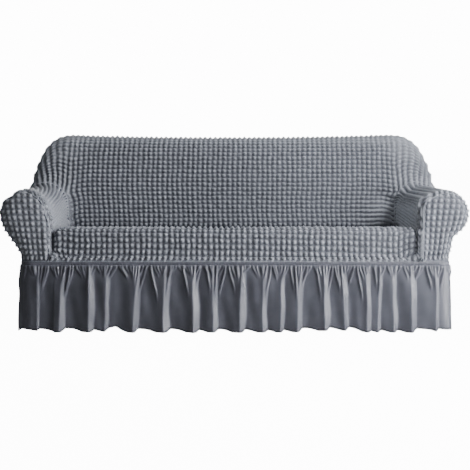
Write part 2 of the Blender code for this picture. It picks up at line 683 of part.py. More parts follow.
def cover_pieces():
    """Every piece by name: its vertices, its faces and its finish."""
    left, right = side_seams(-1), side_seams(1)
    crease = back_columns(left["join"][0], right["join"][0])
    crease[1:-1] = settle_on_both(crease[1:-1], seat_field, frame_field)
    back, rear = back_grid(left, right, crease)
    grids = {
        "seat": (seat_grid(left, right, crease), seat_field, CREASE_INSET),
        "back_inside": (back, frame_field),
        "back_outside": (outside_grid(left, right, rear), frame_field),
        "arm_left": (arm_grid(left), frame_field),
        "arm_right": (arm_grid(right), frame_field),
        "arm_front_left": (front_grid(left), frame_field),
        "arm_front_right": (front_grid(right), frame_field),
    }
    pieces = {name: (*panel(*grid), BUBBLE_CLOTH) for name, grid in grids.items()}
    edges = [grid[-1] for grid in (grids["seat"][0], grids["arm_left"][0], grids["arm_right"][0])]
    edges += [grids[name][0][0] for name in ("back_outside", "arm_front_left", "arm_front_right")]
    stations = np.unique(np.round([rail_distance(p) for p in np.concatenate(edges)], 4))
    pieces["skirt_band"] = (*band_ring(stations), PLAIN_CLOTH)
    seam, far = SKIRT_SEAM_X, RAIL_LENGTH / 2
    lengths = {
        "skirt_front": (-seam, seam),
        "skirt_right": (seam, far - seam),
        "skirt_back": (far - seam, far + seam),
        "skirt_left": (far + seam, RAIL_LENGTH - seam),
    }
    for name, span in lengths.items():
        pieces[name] = (*skirt_length(*span), PLAIN_CLOTH)
    return pieces


def main():
    for old in list(bpy.data.objects):
        bpy.data.objects.remove(old, do_unlink=True)
    collection = bpy.data.collections.new("sofa_slipcover")
    bpy.context.scene.collection.children.link(collection)
    pieces = cover_pieces()
    everything = np.concatenate([vertices for vertices, _, _ in pieces.values()])
    low, high = everything.min(axis=0), everything.max(axis=0)
    origin = np.array([(low[0] + high[0]) / 2, (low[1] + high[1]) / 2, low[2]])
    for name, (vertices, faces, finish) in pieces.items():
        add_object(name, vertices - origin, faces, finish, collection)


main()
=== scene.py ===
"""The looks of a stretch slipcover for a three-seat sofa, in its fitted shape.

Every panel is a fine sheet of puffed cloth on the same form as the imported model:
its base points are worked out between the seams, moved onto the form, and then the
grid of bubbles is pressed in between its rows and columns of elastic thread. The
skirt is a hanging sheet of plain cloth with gathers that run together into folds.

X runs along the sofa, Y from front to back, Z up. Metres throughout.
"""

import functools
import math

import bpy
import numpy as np
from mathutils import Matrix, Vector


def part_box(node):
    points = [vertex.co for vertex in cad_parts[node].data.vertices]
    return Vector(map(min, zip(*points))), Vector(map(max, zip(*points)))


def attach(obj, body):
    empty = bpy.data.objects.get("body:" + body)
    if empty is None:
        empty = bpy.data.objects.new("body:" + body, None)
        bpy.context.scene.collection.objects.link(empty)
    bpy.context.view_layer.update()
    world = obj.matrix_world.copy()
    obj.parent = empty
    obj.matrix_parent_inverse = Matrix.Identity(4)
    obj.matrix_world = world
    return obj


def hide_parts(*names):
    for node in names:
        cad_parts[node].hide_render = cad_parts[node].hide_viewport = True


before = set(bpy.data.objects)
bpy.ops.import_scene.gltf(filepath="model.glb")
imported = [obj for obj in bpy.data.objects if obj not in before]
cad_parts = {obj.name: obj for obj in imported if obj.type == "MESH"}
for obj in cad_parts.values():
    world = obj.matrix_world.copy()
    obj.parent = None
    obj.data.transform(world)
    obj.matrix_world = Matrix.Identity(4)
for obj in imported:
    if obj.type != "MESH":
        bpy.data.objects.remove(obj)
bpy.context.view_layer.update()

bl_info = {
    "name": "Sofa slipcover",
    "version": (1, 0, 0),
    "blender": (4, 5, 0),
    "location": "View3D > Sidebar > Slipcover",
    "description": "Builds the bubble-cloth slipcover with its gathered skirt, and a studio for it",
    "category": "Object",
}

# ---- Sizes of the form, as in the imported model. A pair of X or Z values is where an easing
# starts and ends; "soft" is how far from an edge two surfaces start to blend

SEAM_INSET = 0.0004          # from a seam to the edge of the piece beside it

# Arms, -1 the left one and +1 the right: a roll on a tapering post
ARM_INNER = 0.822
ARM_FRONT, ARM_REAR = -0.440, 0.425
ROLL_X, ROLL_Z = 0.955, 0.530
ARMS = {
    -1: {"roll": 0.113, "under": 0.110, "post_top": 0.530, "inset": 0.011, "inner_inset": 0.011},
    +1: {"roll": 0.110, "under": 0.028, "post_top": 0.618, "inset": 0.011, "inner_inset": 0.018},
}
POST_OUTER, POST_LEVEL, POST_TAPER = 0.988, 0.380, 0.150
POST_SOFT, POST_TOP_SOFT = 0.020, 0.050
UNDER_INNER = 0.028          # softness under the roll on the inside; outside it is the arm's own
UNDER_PLACES = (0.880, 0.980)
OPENING = 0.014              # that the left arm's inner face stands further out at the back
OPENS_DEPTHS, OPENS_LEVELS = (-0.30, 0.06), (0.43, 0.48)
SLUMP = 0.070                # that the right arm's top is rounder behind its front
SLUMP_DEPTHS = (-0.41, -0.32)
INSET_PLACES = (0.905, 0.845)
ARM_ROUNDING = 0.080         # round the arm's front
INNER_ROUNDING = (0.050, 0.036)   # at the inner edges of the left and the right arm front
ROUNDING_PLACES = (0.880, 0.960)
REAR_SOFT = 0.060
ARM_CORE_X, ARM_CORE_Z = 0.900, 0.450      # from where the section is cut into rows by rays
CORE_REACHES = (0.010, 0.300)
INNER_SHOULDER, OUTER_SHOULDER = 145.0, 42.0    # degrees round the roll where its bubbles start and end

# Back
BACK_TILT = np.radians(12.0)
BACK_Y, BACK_LEVEL = 0.090, 0.410          # its face passes through here
BACK_REAR = 0.420
BACK_DEPTHS = (-0.100, 0.300)              # between which its face is looked for
BACK_SIDE, BACK_TOP = 1.049, 0.899
BACK_SAG, SAG_REACH = 0.012, 0.800
SHOULDER_X, SHOULDER_Z = 1.017, 0.756
SHOULDER_SLOPE = np.radians(28.0)
SHOULDER_ARC = ((0.842, 0.607), (0.190, 0.280))     # middle and radii
SIDE_SOFT, TOP_SOFT = 0.050, 0.090
BACK_EDGE, REAR_EDGE = 0.085, 0.050        # radii
SOFT_PER_RADIUS = 1.18
FRONT_INSET, REAR_INSET = 0.0255, 0.032    # of its ridge and its rear seam from its outline
WING_BOTTOM, WING_INNER = 0.500, 0.915

# Seat
SEAT_TOP, SEAT_FRONT, SEAT_SIDE = 0.479, -0.424, 0.829
SEAT_TILT = np.radians(6.0)
SEAT_EDGE = 0.055
SEAT_BEHIND = 0.012
CREASE_TURN, CREASE_END = (0.016, 0.030), (0.008, 0.083)    # in from the seat's front, and before the back
PINCH = 0.022                # height above the band where seat front and arm front come together

# Band, and the rail on which it lies
BAND_TOP, BAND_BOTTOM = 0.317, 0.300
PULL_IN = 0.050              # height over which the panels are drawn in to the band
RAIL_X, RAIL_FRONT, RAIL_REAR, RAIL_CORNER = 0.975, -0.428, 0.412, 0.060
TOE_X = 0.846
RAIL_STATIONS = 5600

# Join of arms and back
JOIN_SHARP = 0.012
JOIN_SOFT = (0.050, 0.110)   # on the left, and on the right inside these places
JOIN_NARROWS, JOIN_WIDENS = (0.900, 0.985), (0.50, 0.61)
JOIN_LEVELS, JOIN_DEPTHS = (0.50, 0.63), (0.17, 0.30)

# ---- Rows and columns of bubbles

CELL = 6                     # steps of the mesh to a bubble
MID = 66                     # across the seat and the back, between the arms
WING = 8                     # over a roll
LOW = 9                      # up the corner between arm and back
FACE = 12                    # from there to the front edge of the top
RIM = 10                     # over the top to the rear seam
SEAT = 20                    # along the seat
DROP = 5                     # down the seat front to the pinch
TOE = 1                      # from the pinch to the band
SIDE = 12                    # down the outer side of an arm
FLANK = 12                   # along an arm behind the front of the back
OUTSIDE = 20                 # down the outside back
FRONT_ROWS, FRONT_COLUMNS = 15, 11
SHOULDER = LOW + WING
RAYS = 1600
CROWDING = 0.05              # of the columns towards the arms
END_HOLD = 6                 # of the seat's and the back's columns against bends of their ends
END_COLUMNS = 5              # next to an arm, that aren't evened out or straightened
STRAIGHTENING = 250          # rounds of evening along the columns

# Place of the form in the frame: its band is centred on the rail
_low, _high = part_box("skirt_band")
SHIFT = np.array([
    (_low[0] + _high[0]) / 2,
    (_low[1] + _high[1]) / 2 - (RAIL_FRONT + RAIL_REAR) / 2,
    _high[2] + SEAM_INSET - BAND_TOP,
])


# ---- Settings that a user would change


class CoverSizes(bpy.types.PropertyGroup):
    depth: bpy.props.FloatProperty(
        name="Bubble depth", description="How far the cloth goes in between its bubbles",
        default=0.0130, min=0.0, max=0.018, unit="LENGTH",
    )
    crown: bpy.props.FloatProperty(
        name="Bubble crown", description="Higher makes the bubbles fuller, with steeper sides",
        default=1.5, min=1.0, max=6.0,
    )
    unevenness: bpy.props.FloatProperty(
        name="Unevenness", description="How much the bubbles differ from one another",
        default=1.0, min=0.0, max=2.0, subtype="FACTOR",
    )
    gather: bpy.props.FloatProperty(
        name="Gather depth", description="How far the small gathers stand out below the band",
        default=0.0070, min=0.0, max=0.012, unit="LENGTH",
    )
    lining: bpy.props.FloatProperty(
        name="Cloth thickness", description="Thickness of the cloth in the valleys and of the plain cloth",
        default=0.0012, min=0.0005, max=0.003, unit="LENGTH",
    )


class CoverColours(bpy.types.PropertyGroup):
    bubble: bpy.props.FloatVectorProperty(
        name="Bubble cloth", description="Colour of the tops of the bubbles",
        default=(0.218, 0.232, 0.264), size=3, min=0.0, max=1.0, subtype="COLOR",
    )
    # Valley colour: partly the elastic thread's own colour, partly painted shade in the hollows between the
    # bubbles
    valley_thread_and_shade: bpy.props.FloatVectorProperty(
        name="Valleys", description="Colour between the bubbles, where the elastic thread shows",
        default=(0.086, 0.093, 0.112), size=3, min=0.0, max=1.0, subtype="COLOR",
    )
    plain: bpy.props.FloatVectorProperty(
        name="Plain cloth", description="Colour of the band and the skirt",
        default=(0.063, 0.066, 0.083), size=3, min=0.0, max=1.0, subtype="COLOR",
    )
    floor: bpy.props.FloatVectorProperty(
        name="Floor", description="Colour of the studio floor",
        default=(0.30, 0.30, 0.30), size=3, min=0.0, max=1.0, subtype="COLOR",
    )


# ---- Fields. Each is below zero inside its body, and about a distance outside it


def smooth_min(a, b, k):
    """The lower of two fields, rounded where they differ by less than k."""
    share = np.clip(0.5 + 0.5 * (b - a) / k, 0, 1)
    return b + (a - b) * share - k * share * (1 - share)


def smooth_max(a, b, k):
    return -smooth_min(-a, -b, k)


def ease(low, high, value):
    """0 below low, 1 above high, with an S between."""
    t = np.clip((value - low) / (high - low), 0, 1)
    return t * t * (3 - 2 * t)


def points(x, y, z):
    return np.stack(np.broadcast_arrays(x, y, z), -1).astype(float)


def arm_size(x, name):
    return np.where(x < 0, ARMS[-1][name], ARMS[1][name])


def arm_section(p):
    """The arm seen from the front: a circle for the roll, joined softly to a tapering post."""
    out, z = np.abs(p[..., 0]), p[..., 2]
    roll = np.hypot(out - ROLL_X, z - ROLL_Z) - arm_size(p[..., 0], "roll")
    outer = POST_OUTER + POST_TAPER * (z - POST_LEVEL)
    behind = ease(*OPENS_DEPTHS, p[..., 1])
    inner = ARM_INNER + OPENING * behind * ease(*OPENS_LEVELS, z) * (p[..., 0] < 0)
    post = smooth_max(inner - out, out - outer, POST_SOFT)
    softness = POST_TOP_SOFT + SLUMP * ease(*SLUMP_DEPTHS, p[..., 1]) * (p[..., 0] > 0)
    post = smooth_max(post, z - arm_size(p[..., 0], "post_top"), softness)
    outward = ease(*UNDER_PLACES, out)
    under = UNDER_INNER + (arm_size(p[..., 0], "under") - UNDER_INNER) * outward
    return smooth_min(roll, post, under)


def front_seam(p):
    """Zero along the seam of the arm front: the arm's section set in by a varying inset."""
    inner = ease(*INSET_PLACES, np.abs(p[..., 0]))
    inset = arm_size(p[..., 0], "inset")
    return arm_section(p) + inset + inner * (arm_size(p[..., 0], "inner_inset") - inset)


def arm_field(p):
    """The arm's section between its front and rear planes, with softened edges."""
    tight = 1 - ease(*ROUNDING_PLACES, np.abs(p[..., 0]))
    rounding = ARM_ROUNDING + (np.where(p[..., 0] < 0, *INNER_ROUNDING) - ARM_ROUNDING) * tight
    body = smooth_max(arm_section(p), ARM_FRONT - p[..., 1], rounding)
    return smooth_max(body, p[..., 1] - ARM_REAR, REAR_SOFT)


def back_outline(p):
    """The back seen from the front: upright sides, sloping shoulders and a top that sags."""
    out, z = np.abs(p[..., 0]), p[..., 2]
    slope = (out - SHOULDER_X) * np.cos(SHOULDER_SLOPE) + (z - SHOULDER_Z) * np.sin(SHOULDER_SLOPE)
    top = z - BACK_TOP + BACK_SAG * (1 - np.clip(out / SAG_REACH, 0, 1) ** 2)
    outline = smooth_max(smooth_max(out - BACK_SIDE, slope, SIDE_SOFT), top, TOP_SOFT)
    return np.maximum(outline, np.minimum(WING_BOTTOM - z, out - WING_INNER))


def back_face(z):
    """Y of the back's inner face at a height, on a plane reclined by the tilt."""
    return BACK_Y + (z - BACK_LEVEL) * np.tan(BACK_TILT)


def back_field(p):
    """The back's outline between its reclined face and its rear plane, with rounded edges."""
    face = (back_face(p[..., 2]) - p[..., 1]) * np.cos(BACK_TILT)
    body = smooth_max(face, back_outline(p), SOFT_PER_RADIUS * BACK_EDGE)
    return smooth_max(body, p[..., 1] - BACK_REAR, SOFT_PER_RADIUS * REAR_EDGE)


def rail_field(p):
    """The rounded oblong on which the band lies: distance to a box in plan, less its corner radius."""
    middle, reach = (RAIL_FRONT + RAIL_REAR) / 2, (RAIL_REAR - RAIL_FRONT) / 2
    dx = np.abs(p[..., 0]) - (RAIL_X - RAIL_CORNER)
    dy = np.abs(p[..., 1] - middle) - (reach - RAIL_CORNER)
    outside = np.hypot(np.maximum(dx, 0), np.maximum(dy, 0))
    return outside + np.minimum(np.maximum(dx, dy), 0) - RAIL_CORNER


def drawn_in(field, p):
    """A body's field, blended into the rail's over a short height above the band."""
    share = ease(0, PULL_IN, BAND_TOP + PULL_IN - p[..., 2])
    return (1 - share) * field + share * rail_field(p)


def frame_field(p):
    """Arms and back as one body, joined sharply in the corners and softly over the rolls."""
    soft = ease(*JOIN_LEVELS, p[..., 2]) * (1 - ease(*JOIN_DEPTHS, p[..., 1]))
    softest = np.where(p[..., 0] < 0, *JOIN_SOFT)
    narrow = ease(*JOIN_NARROWS, p[..., 0]) + 1 - ease(*JOIN_WIDENS, p[..., 2])
    softest = softest + (JOIN_SOFT[0] - softest) * np.minimum(narrow, 1)
    join = JOIN_SHARP + (softest - JOIN_SHARP) * soft
    return drawn_in(smooth_min(arm_field(p), back_field(p), join), p)


def seat_field(p):
    """A slab with a tilted top, rounded towards its front, its sides and the back."""
    x, y, z = p[..., 0], p[..., 1], p[..., 2]
    top = (z - SEAT_TOP) * np.cos(SEAT_TILT) + (y - SEAT_FRONT) * np.sin(SEAT_TILT)
    body = smooth_max(top, SEAT_FRONT - y, SEAT_EDGE)
    body = smooth_max(body, np.abs(x) - SEAT_SIDE, SEAT_EDGE)
    body = smooth_max(body, y - back_face(BACK_LEVEL) - SEAT_BEHIND, SEAT_EDGE)
    return drawn_in(body, p)


def slope_of(field, p, step=1e-5):
    """The gradient of a field, by central differences."""
    nudges = np.eye(3) * step
    return np.stack([(field(p + n) - field(p - n)) / (2 * step) for n in nudges], -1)


def settle(p, field, steps=12):
    """Newton steps along a field's slope, until the points lie on its surface."""
    for _ in range(steps):
        slope = slope_of(field, p)
        p = p - slope * (field(p) / (slope**2).sum(-1))[..., None]
    return p


def settle_on_both(p, field, guide, steps=24):
    """Newton steps by the least move that brings two fields to zero at once."""
    for _ in range(steps):
        a, b = slope_of(field, p), slope_of(guide, p)
        aa, ab, bb = (a * a).sum(-1), (a * b).sum(-1), (b * b).sum(-1)
        fa, fb = field(p), guide(p)
        scale = aa * bb - ab * ab + 1e-6
        along_a, along_b = (bb * fa - ab * fb) / scale, (aa * fb - ab * fa) / scale
        p = p - a * along_a[..., None] - b * along_b[..., None]
    return p


def unit(vectors):
    return vectors / np.linalg.norm(vectors, axis=-1, keepdims=True)


# ---- Lines and patches


def line(start, end, bubbles):
    """A straight row of points, CELL steps to a bubble."""
    return start + (end - start) * np.linspace(0, 1, bubbles * CELL + 1)[:, None]


def even(row, bubbles):
    """A row dealt out again by its length, CELL steps to a bubble."""
    run = np.concatenate([[0], np.cumsum(np.linalg.norm(np.diff(row, axis=0), axis=1))])
    at = np.linspace(0, run[-1], bubbles * CELL + 1)
    return np.stack([np.interp(at, run, row[:, axis]) for axis in range(3)], -1)


def chain(*rows):
    """Rows end to end, where each starts on the last point of the one before."""
    return np.concatenate([rows[0]] + [row[1:] for row in rows[1:]])


def patch(bottom, top, left, right, field, hold=1):
    """A Coons patch, moved onto a field: the surface ruled from bottom to top, plus the bends
    of its two ends, which fade out across it. With a higher hold, a bend along X fades sooner."""
    v = np.linspace(0, 1, len(left))[:, None, None]
    u = np.linspace(0, 1, len(bottom))[None, :]
    bend_left = left[:, None] - (1 - v) * bottom[0] - v * top[0]
    bend_right = right[:, None] - (1 - v) * bottom[-1] - v * top[-1]
    fading, growing = points((1 - u) ** hold, 1 - u, 1 - u), points(u**hold, u, u)
    grid = (1 - v) * bottom + v * top + fading * bend_left + growing * bend_right
    grid[1:-1, 1:-1] = settle(grid[1:-1, 1:-1], field)
    return grid


def rail_point(s):
    """Place and outward direction on the rail, four straights and four arcs, at distance s."""
    half_x, half_y = RAIL_X - RAIL_CORNER, (RAIL_REAR - RAIL_FRONT) / 2 - RAIL_CORNER
    middle = (RAIL_REAR + RAIL_FRONT) / 2
    corner = RAIL_CORNER * np.pi / 2
    steps = [half_x, corner, 2 * half_y, corner, 2 * half_x, corner, 2 * half_y, corner, half_x]
    knots = np.concatenate([[0], np.cumsum(steps)])
    s = np.mod(s, knots[-1])
    cx = np.interp(s, knots, half_x * np.array([0, 1, 1, 1, 1, -1, -1, -1, -1, 0]))
    cy = np.interp(s, knots, middle + half_y * np.array([-1, -1, -1, 1, 1, 1, 1, -1, -1, -1]))
    turn = np.interp(s, knots, np.pi / 2 * np.array([0, 0, 1, 1, 2, 2, 3, 3, 4, 4]))
    outward = points(np.sin(turn), -np.cos(turn), 0)
    return points(cx, cy, 0) + RAIL_CORNER * outward, outward


RAIL_LENGTH = 4 * RAIL_X + 2 * (RAIL_REAR - RAIL_FRONT) - (8 - 2 * np.pi) * RAIL_CORNER


def way(a, b):
    """The signed distance from b to a, the short way round the rail."""
    return (a - b + RAIL_LENGTH / 2) % RAIL_LENGTH - RAIL_LENGTH / 2


def rail_distance(p):
    """The distance along the rail of the place nearest to a point."""
    s = np.linspace(0, RAIL_LENGTH, RAIL_STATIONS, endpoint=False)
    return s[np.argmin(np.linalg.norm(rail_point(s)[0][:, :2] - p[:2], axis=1))]


def along_rail(start, end, bubbles):
    """The top edge of the band between two of its points, the short way round."""
    a, b = rail_distance(start), rail_distance(end)
    row = rail_point(np.linspace(a, a + way(b, a), bubbles * CELL + 1))[0]
    row[:, 2] = BAND_TOP
    row[0], row[-1] = start, end
    return row


# ---- Seams and creases


def crossing(value, limits, count):
    """Where each of count values falls to zero between two limits, found by halving."""
    near, far = np.full(count, limits[0]), np.full(count, limits[1])
    for _ in range(40):
        middle = (near + far) / 2
        above = value(middle) > 0
        near, far = np.where(above, middle, near), np.where(above, far, middle)
    return far


def arm_rows(side, low):
    """The arm's section in rows: rays from its core, cut into inner face, roll and outer side."""
    core = points(side * ARM_CORE_X, 0, ARM_CORE_Z)
    first = np.arctan2(low - ARM_CORE_Z, ARM_INNER - ARM_CORE_X) % (2 * np.pi)
    last = np.arctan2(BAND_TOP - ARM_CORE_Z, RAIL_X - ARM_CORE_X)
    turn = np.linspace(first, last, RAYS)
    ray = points(side * np.cos(turn), 0, np.sin(turn))
    reach = crossing(lambda reach: -arm_section(core + ray * reach[:, None]), CORE_REACHES, RAYS)
    row = core + ray * reach[:, None]
    round_roll = np.degrees(np.arctan2(row[:, 2] - ROLL_Z, side * row[:, 0] - ROLL_X)) % 360
    inner = np.argmin(np.abs(round_roll - INNER_SHOULDER))
    outer = np.argmin(np.abs(round_roll - OUTER_SHOULDER))
    return chain(even(row[: inner + 1], LOW), even(row[inner : outer + 1], WING), even(row[outer:], SIDE))


def enters_back(p):
    """The points moved along Y to where they first meet the back."""
    y = crossing(lambda y: back_field(points(p[:, 0], y, p[:, 2])), BACK_DEPTHS, len(p))
    return points(p[:, 0], y, p[:, 2])


def set_in(row, inset):
    """Points of the back's outline moved inwards, at right angles to it."""
    slope = unit(slope_of(back_outline, row))
    return row - slope * np.broadcast_to(inset, len(row))[:, None]


def edge_fall(radius, inset):
    """How far a quarter-round edge has fallen back where its outline is set in by inset."""
    return radius - np.sqrt(np.maximum(radius**2 - (radius - inset) ** 2, 0))


def on_band(p):
    """Points brought level with the top of the band, on the rail."""
    return settle(points(p[..., 0], p[..., 1], BAND_TOP), frame_field)


def back_columns(row_left, row_right):
    """Places across the back between two end points, closer together at the ends."""
    t = np.linspace(-1, 1, MID * CELL + 1)
    share = 0.5 + 0.5 * ((1 - CROWDING) * t + CROWDING * np.sin(t * np.pi / 2))
    return row_left + (row_right - row_left) * share[:, None]


@functools.lru_cache(maxsize=None)
def side_seams(side):
    """The seams of one arm and of the end of the back above it, by name."""
    shoulder = SHOULDER * CELL
    # front seam: a little inside the arm's outline, from the pinch over the roll to the band
    front = settle(arm_rows(side, BAND_TOP + PINCH), front_seam)
    front[:, 1] = ARM_FRONT + ARM_ROUNDING / 4
    front = settle_on_both(front, frame_field, front_seam)
    front[-1] = on_band(front[-1])
    # foot: from the pinch up the seat front, then along the crease between seat and arm
    turn = points(side * ARM_INNER, SEAT_FRONT + CREASE_TURN[0], SEAT_TOP - CREASE_TURN[1])
    end = points(side * ARM_INNER, back_face(BACK_LEVEL) - CREASE_END[0], SEAT_TOP - CREASE_END[1])
    foot = chain(line(front[0], turn, DROP), line(turn, end, SEAT))
    foot = settle_on_both(foot, seat_field, frame_field)
    foot[0] = front[0]
    # join: from the end of the foot up the corner and over the roll, where arm meets back
    join = enters_back(arm_rows(side, foot[-1, 2])[: shoulder + 1])
    join = settle(join, frame_field)
    join[0] = foot[-1]
    # edges of the back round its shoulder: its front ridge and its rear seam
    angle = np.linspace(0, np.pi / 2, WING * CELL + 1)
    middle, radii = SHOULDER_ARC
    out, up = middle[0] + radii[0] * np.cos(angle), middle[1] + radii[1] * np.sin(angle)
    outline = settle(points(side * out, 0, up), back_outline)
    inset = FRONT_INSET * np.linspace(0, 1, WING * CELL + 1)
    ridge = set_in(outline, inset)
    ridge[:, 1] = back_face(ridge[:, 2]) + edge_fall(BACK_EDGE, inset)
    rear = set_in(outline, REAR_INSET)
    rear[:, 1] = BACK_REAR - edge_fall(REAR_EDGE, REAR_INSET)
    ridge, rear = settle(ridge, frame_field), settle(rear, frame_field)
    # flank: along the side of the back, above the arm's outer shoulder
    flank = chain(line(join[-1], ridge[0], FACE), line(ridge[0], rear[0], RIM))
    flank[1:-1] = settle(flank[1:-1], frame_field)
    # tail: down the arm's outer rear edge
    tail = settle(arm_rows(side, BAND_TOP)[shoulder:], lambda p: arm_section(p) + REAR_INSET)
    tail[:, 1] = BACK_REAR - edge_fall(REAR_EDGE, REAR_INSET)
    tail = settle(tail, frame_field)
    tail[0] = rear[0]
    tail[-1] = on_band(tail[-1])
    # brow: along the arm's outer shoulder, from the front seam to the join
    brow = line(front[shoulder], join[-1], DROP + SEAT)
    brow[1:-1] = settle(brow[1:-1], frame_field)
    # toe: from the pinch down to the band, between the seat front and the arm front
    toe = line(front[0], points(side * TOE_X, RAIL_FRONT, BAND_TOP), TOE)
    toe[1:-1] = settle(toe[1:-1], frame_field)
    return {
        "front": front, "foot": foot, "join": join, "ridge": ridge, "rear": rear,
        "flank": flank, "tail": tail, "brow": brow, "toe": toe,
    }


@functools.lru_cache(maxsize=None)
def seat_crease():
    """The crease between seat and back."""
    crease = back_columns(side_seams(-1)["join"][0], side_seams(1)["join"][0])
    crease[1:-1] = settle_on_both(crease[1:-1], seat_field, frame_field)
    return crease


# ---- Panels, each a grid of points on its field


def dealt_again(block, field, axes):
    """A panel between the arms, with its bubbles evened out and its columns straightened.

    The columns next to the arms are left as they are. Straightening moves the first axes only.
    """
    columns, rows = block.shape[1] // CELL, block.shape[0] // CELL
    from_end = np.minimum(np.arange(block.shape[1]), np.arange(block.shape[1])[::-1]) / CELL
    share = ease(0, END_COLUMNS, from_end)[:, None]
    down = np.stack([even(column, rows) for column in block.swapaxes(0, 1)], 1)
    block = block + (down - block) * share
    block[1:-1] = np.stack([even(row, columns) for row in block[1:-1]])
    bent = block[..., :axes].copy()
    for _ in range(STRAIGHTENING):
        bent[1:-1] = (bent[:-2] + 2 * bent[1:-1] + bent[2:]) / 4
    block[..., :axes] += (bent - block[..., :axes]) * share
    block[1:-1] = settle(block[1:-1], field, 2)
    return block


def seat_grid():
    """The seat, from the crease before the back, over its front edge, down to the band."""
    left, right = side_seams(-1), side_seams(1)
    ends = [chain(side["foot"][::-1], side["toe"]) for side in (left, right)]
    band = along_rail(left["toe"][-1], right["toe"][-1], MID)
    return dealt_again(patch(seat_crease(), band, *ends, seat_field, END_HOLD), seat_field, 1)


def arm_grid(side):
    """Inner face and roll up to the back, and the outer side all the way to the rear."""
    seams = side_seams(side)
    columns, shoulder = (DROP + SEAT) * CELL, SHOULDER * CELL
    grid = np.full((shoulder + SIDE * CELL + 1, columns + FLANK * CELL + 1, 3), np.nan)
    front = seams["front"]
    band = along_rail(front[-1], seams["tail"][-1], DROP + SEAT + FLANK)
    top = chain(seams["brow"], even(seams["flank"], FLANK))
    grid[shoulder:] = patch(top, band, front[shoulder:], seams["tail"], frame_field)
    grid[: shoulder + 1, : columns + 1] = patch(
        seams["foot"], seams["brow"], front[: shoulder + 1], seams["join"], frame_field
    )
    return grid


def front_grid(side):
    """The arm front, inside its seam."""
    seams = side_seams(side)
    front, toe = seams["front"], seams["toe"]
    low, shoulder = LOW * CELL, SHOULDER * CELL
    inner = even(chain(toe[::-1], front[: low + 1]), FRONT_ROWS)
    outer = even(front[shoulder:][::-1], FRONT_ROWS)
    over = even(front[low : shoulder + 1], FRONT_COLUMNS)
    band = along_rail(toe[-1], front[-1], FRONT_COLUMNS)
    return patch(band, over, inner, outer, frame_field)


def back_row(name, place):
    """A row across the back between the same seam of both ends."""
    ends = [side_seams(side)[name][place] for side in (-1, 1)]
    row = settle(back_columns(*ends), frame_field)
    row = settle(even(row, MID), frame_field, 2)
    row[0], row[-1] = ends
    return row


@functools.lru_cache(maxsize=None)
def rear_row():
    """The rear seam, over both shoulders and along the top."""
    return chain(side_seams(-1)["rear"], back_row("rear", -1), side_seams(1)["rear"][::-1])


def back_grid():
    """The inside back, over its wings and top to the rear seam."""
    left, right = side_seams(-1), side_seams(1)
    low, face, wing, mid = LOW * CELL, FACE * CELL, WING * CELL, MID * CELL
    grid = np.full(((LOW + FACE + RIM) * CELL + 1, mid + 2 * wing + 1, 3), np.nan)
    level = back_row("join", low)
    bottom = chain(left["join"][low:][::-1], level, right["join"][low:])
    ridge = chain(left["ridge"], back_row("ridge", -1), right["ridge"][::-1])
    flanks = left["flank"], right["flank"]
    grid[low : low + face + 1] = patch(bottom, ridge, *(f[: face + 1] for f in flanks), frame_field)
    grid[low + face :] = patch(ridge, rear_row(), *(f[face:] for f in flanks), frame_field)
    middle = slice(wing, wing + mid + 1)
    grid[: low + 1, middle] = patch(
        seat_crease(), level, left["join"][: low + 1], right["join"][: low + 1], frame_field, END_HOLD
    )
    grid[: low + face + 1, middle] = dealt_again(grid[: low + face + 1, middle], frame_field, 3)
    return grid


def outside_grid():
    """The outside back, from the band up to the rear seam."""
    left, right = (even(side_seams(side)["tail"], OUTSIDE)[::-1] for side in (-1, 1))
    band = along_rail(left[0], right[0], MID + 2 * WING)
    return patch(band, rear_row(), left, right, frame_field)


# ---- Puffed cloth

# A bubble
PEAK = 1.3                   # above 1 it is narrower at its top, with wider valleys
SLIDE = 0.40                 # share of a step of the mesh by which a bubble is out of its place,
SLIDE_WAVES = ((0.7, 5.0), (0.5, 1.7))     # in waves of these heights and lengths in bubbles
OWN_HEIGHT, OWN_LEAN, OWN_TWIST = 0.12, 0.16, 0.14    # of its depth
CRUMPLE, CRUMPLE_LENGTH = 0.15, 0.45       # of its depth, and in bubbles

# Lines of bubbles
LINE_DROP = (6.5, 4.5)       # rows that a line drops over the length of the left and the right arm
DROP_FADES = ((LOW + 1, LOW + 13), (LOW - 7, LOW + 4))
LINE_CROWDING = 1.6          # lines on the inner face to a row
FRONT_COLUMN, FRONT_ROW = 0.0265, 0.0265
FRONT_LEAN = 1.0             # per metre that the columns of an arm front are closer together lower down

# Where a panel's bubbles are stretched flatter: X out from the middle, Y back, Z up
WINGS = {"out": (0.78, 0.86), "up": (0.54, 0.58), "end": (0.64, 0.76)}
CORNER = {"out": (0.56, 0.74), "up": (0.50, 0.62)}
CORNER_DEEP = {"out": (0.66, 0.80), "up": (0.52, 0.62)}
SHOULDERS = {"out": (0.68, 0.90), "up": (0.70, 0.82)}
BACK_TOP_LEVELS = (0.84, 0.88)
BACK_END_DEPTHS, BACK_END_OUT = (0.19, 0.25), 0.80
ARM_EDGES = ((-0.385, -0.335), (-0.385, -0.350))    # behind the left and the right arm's front edge
ARM_OVER, ARM_STRIP = (0.95, 1.02), (0.90, 0.96)
ARM_OVER_LOWER, ARM_OVER_LEVELS = 0.06, (0.46, 0.56)    # lower down, it starts further in
ARM_OUTER, ARM_OUTER_DEPTHS = (0.98, 1.03), (0.05, 0.25)
RIBS_DEPTHS, RIBS_LEVELS = (-0.36, -0.10), (0.53, 0.59)
SEAT_END = (0.78, 0.83)

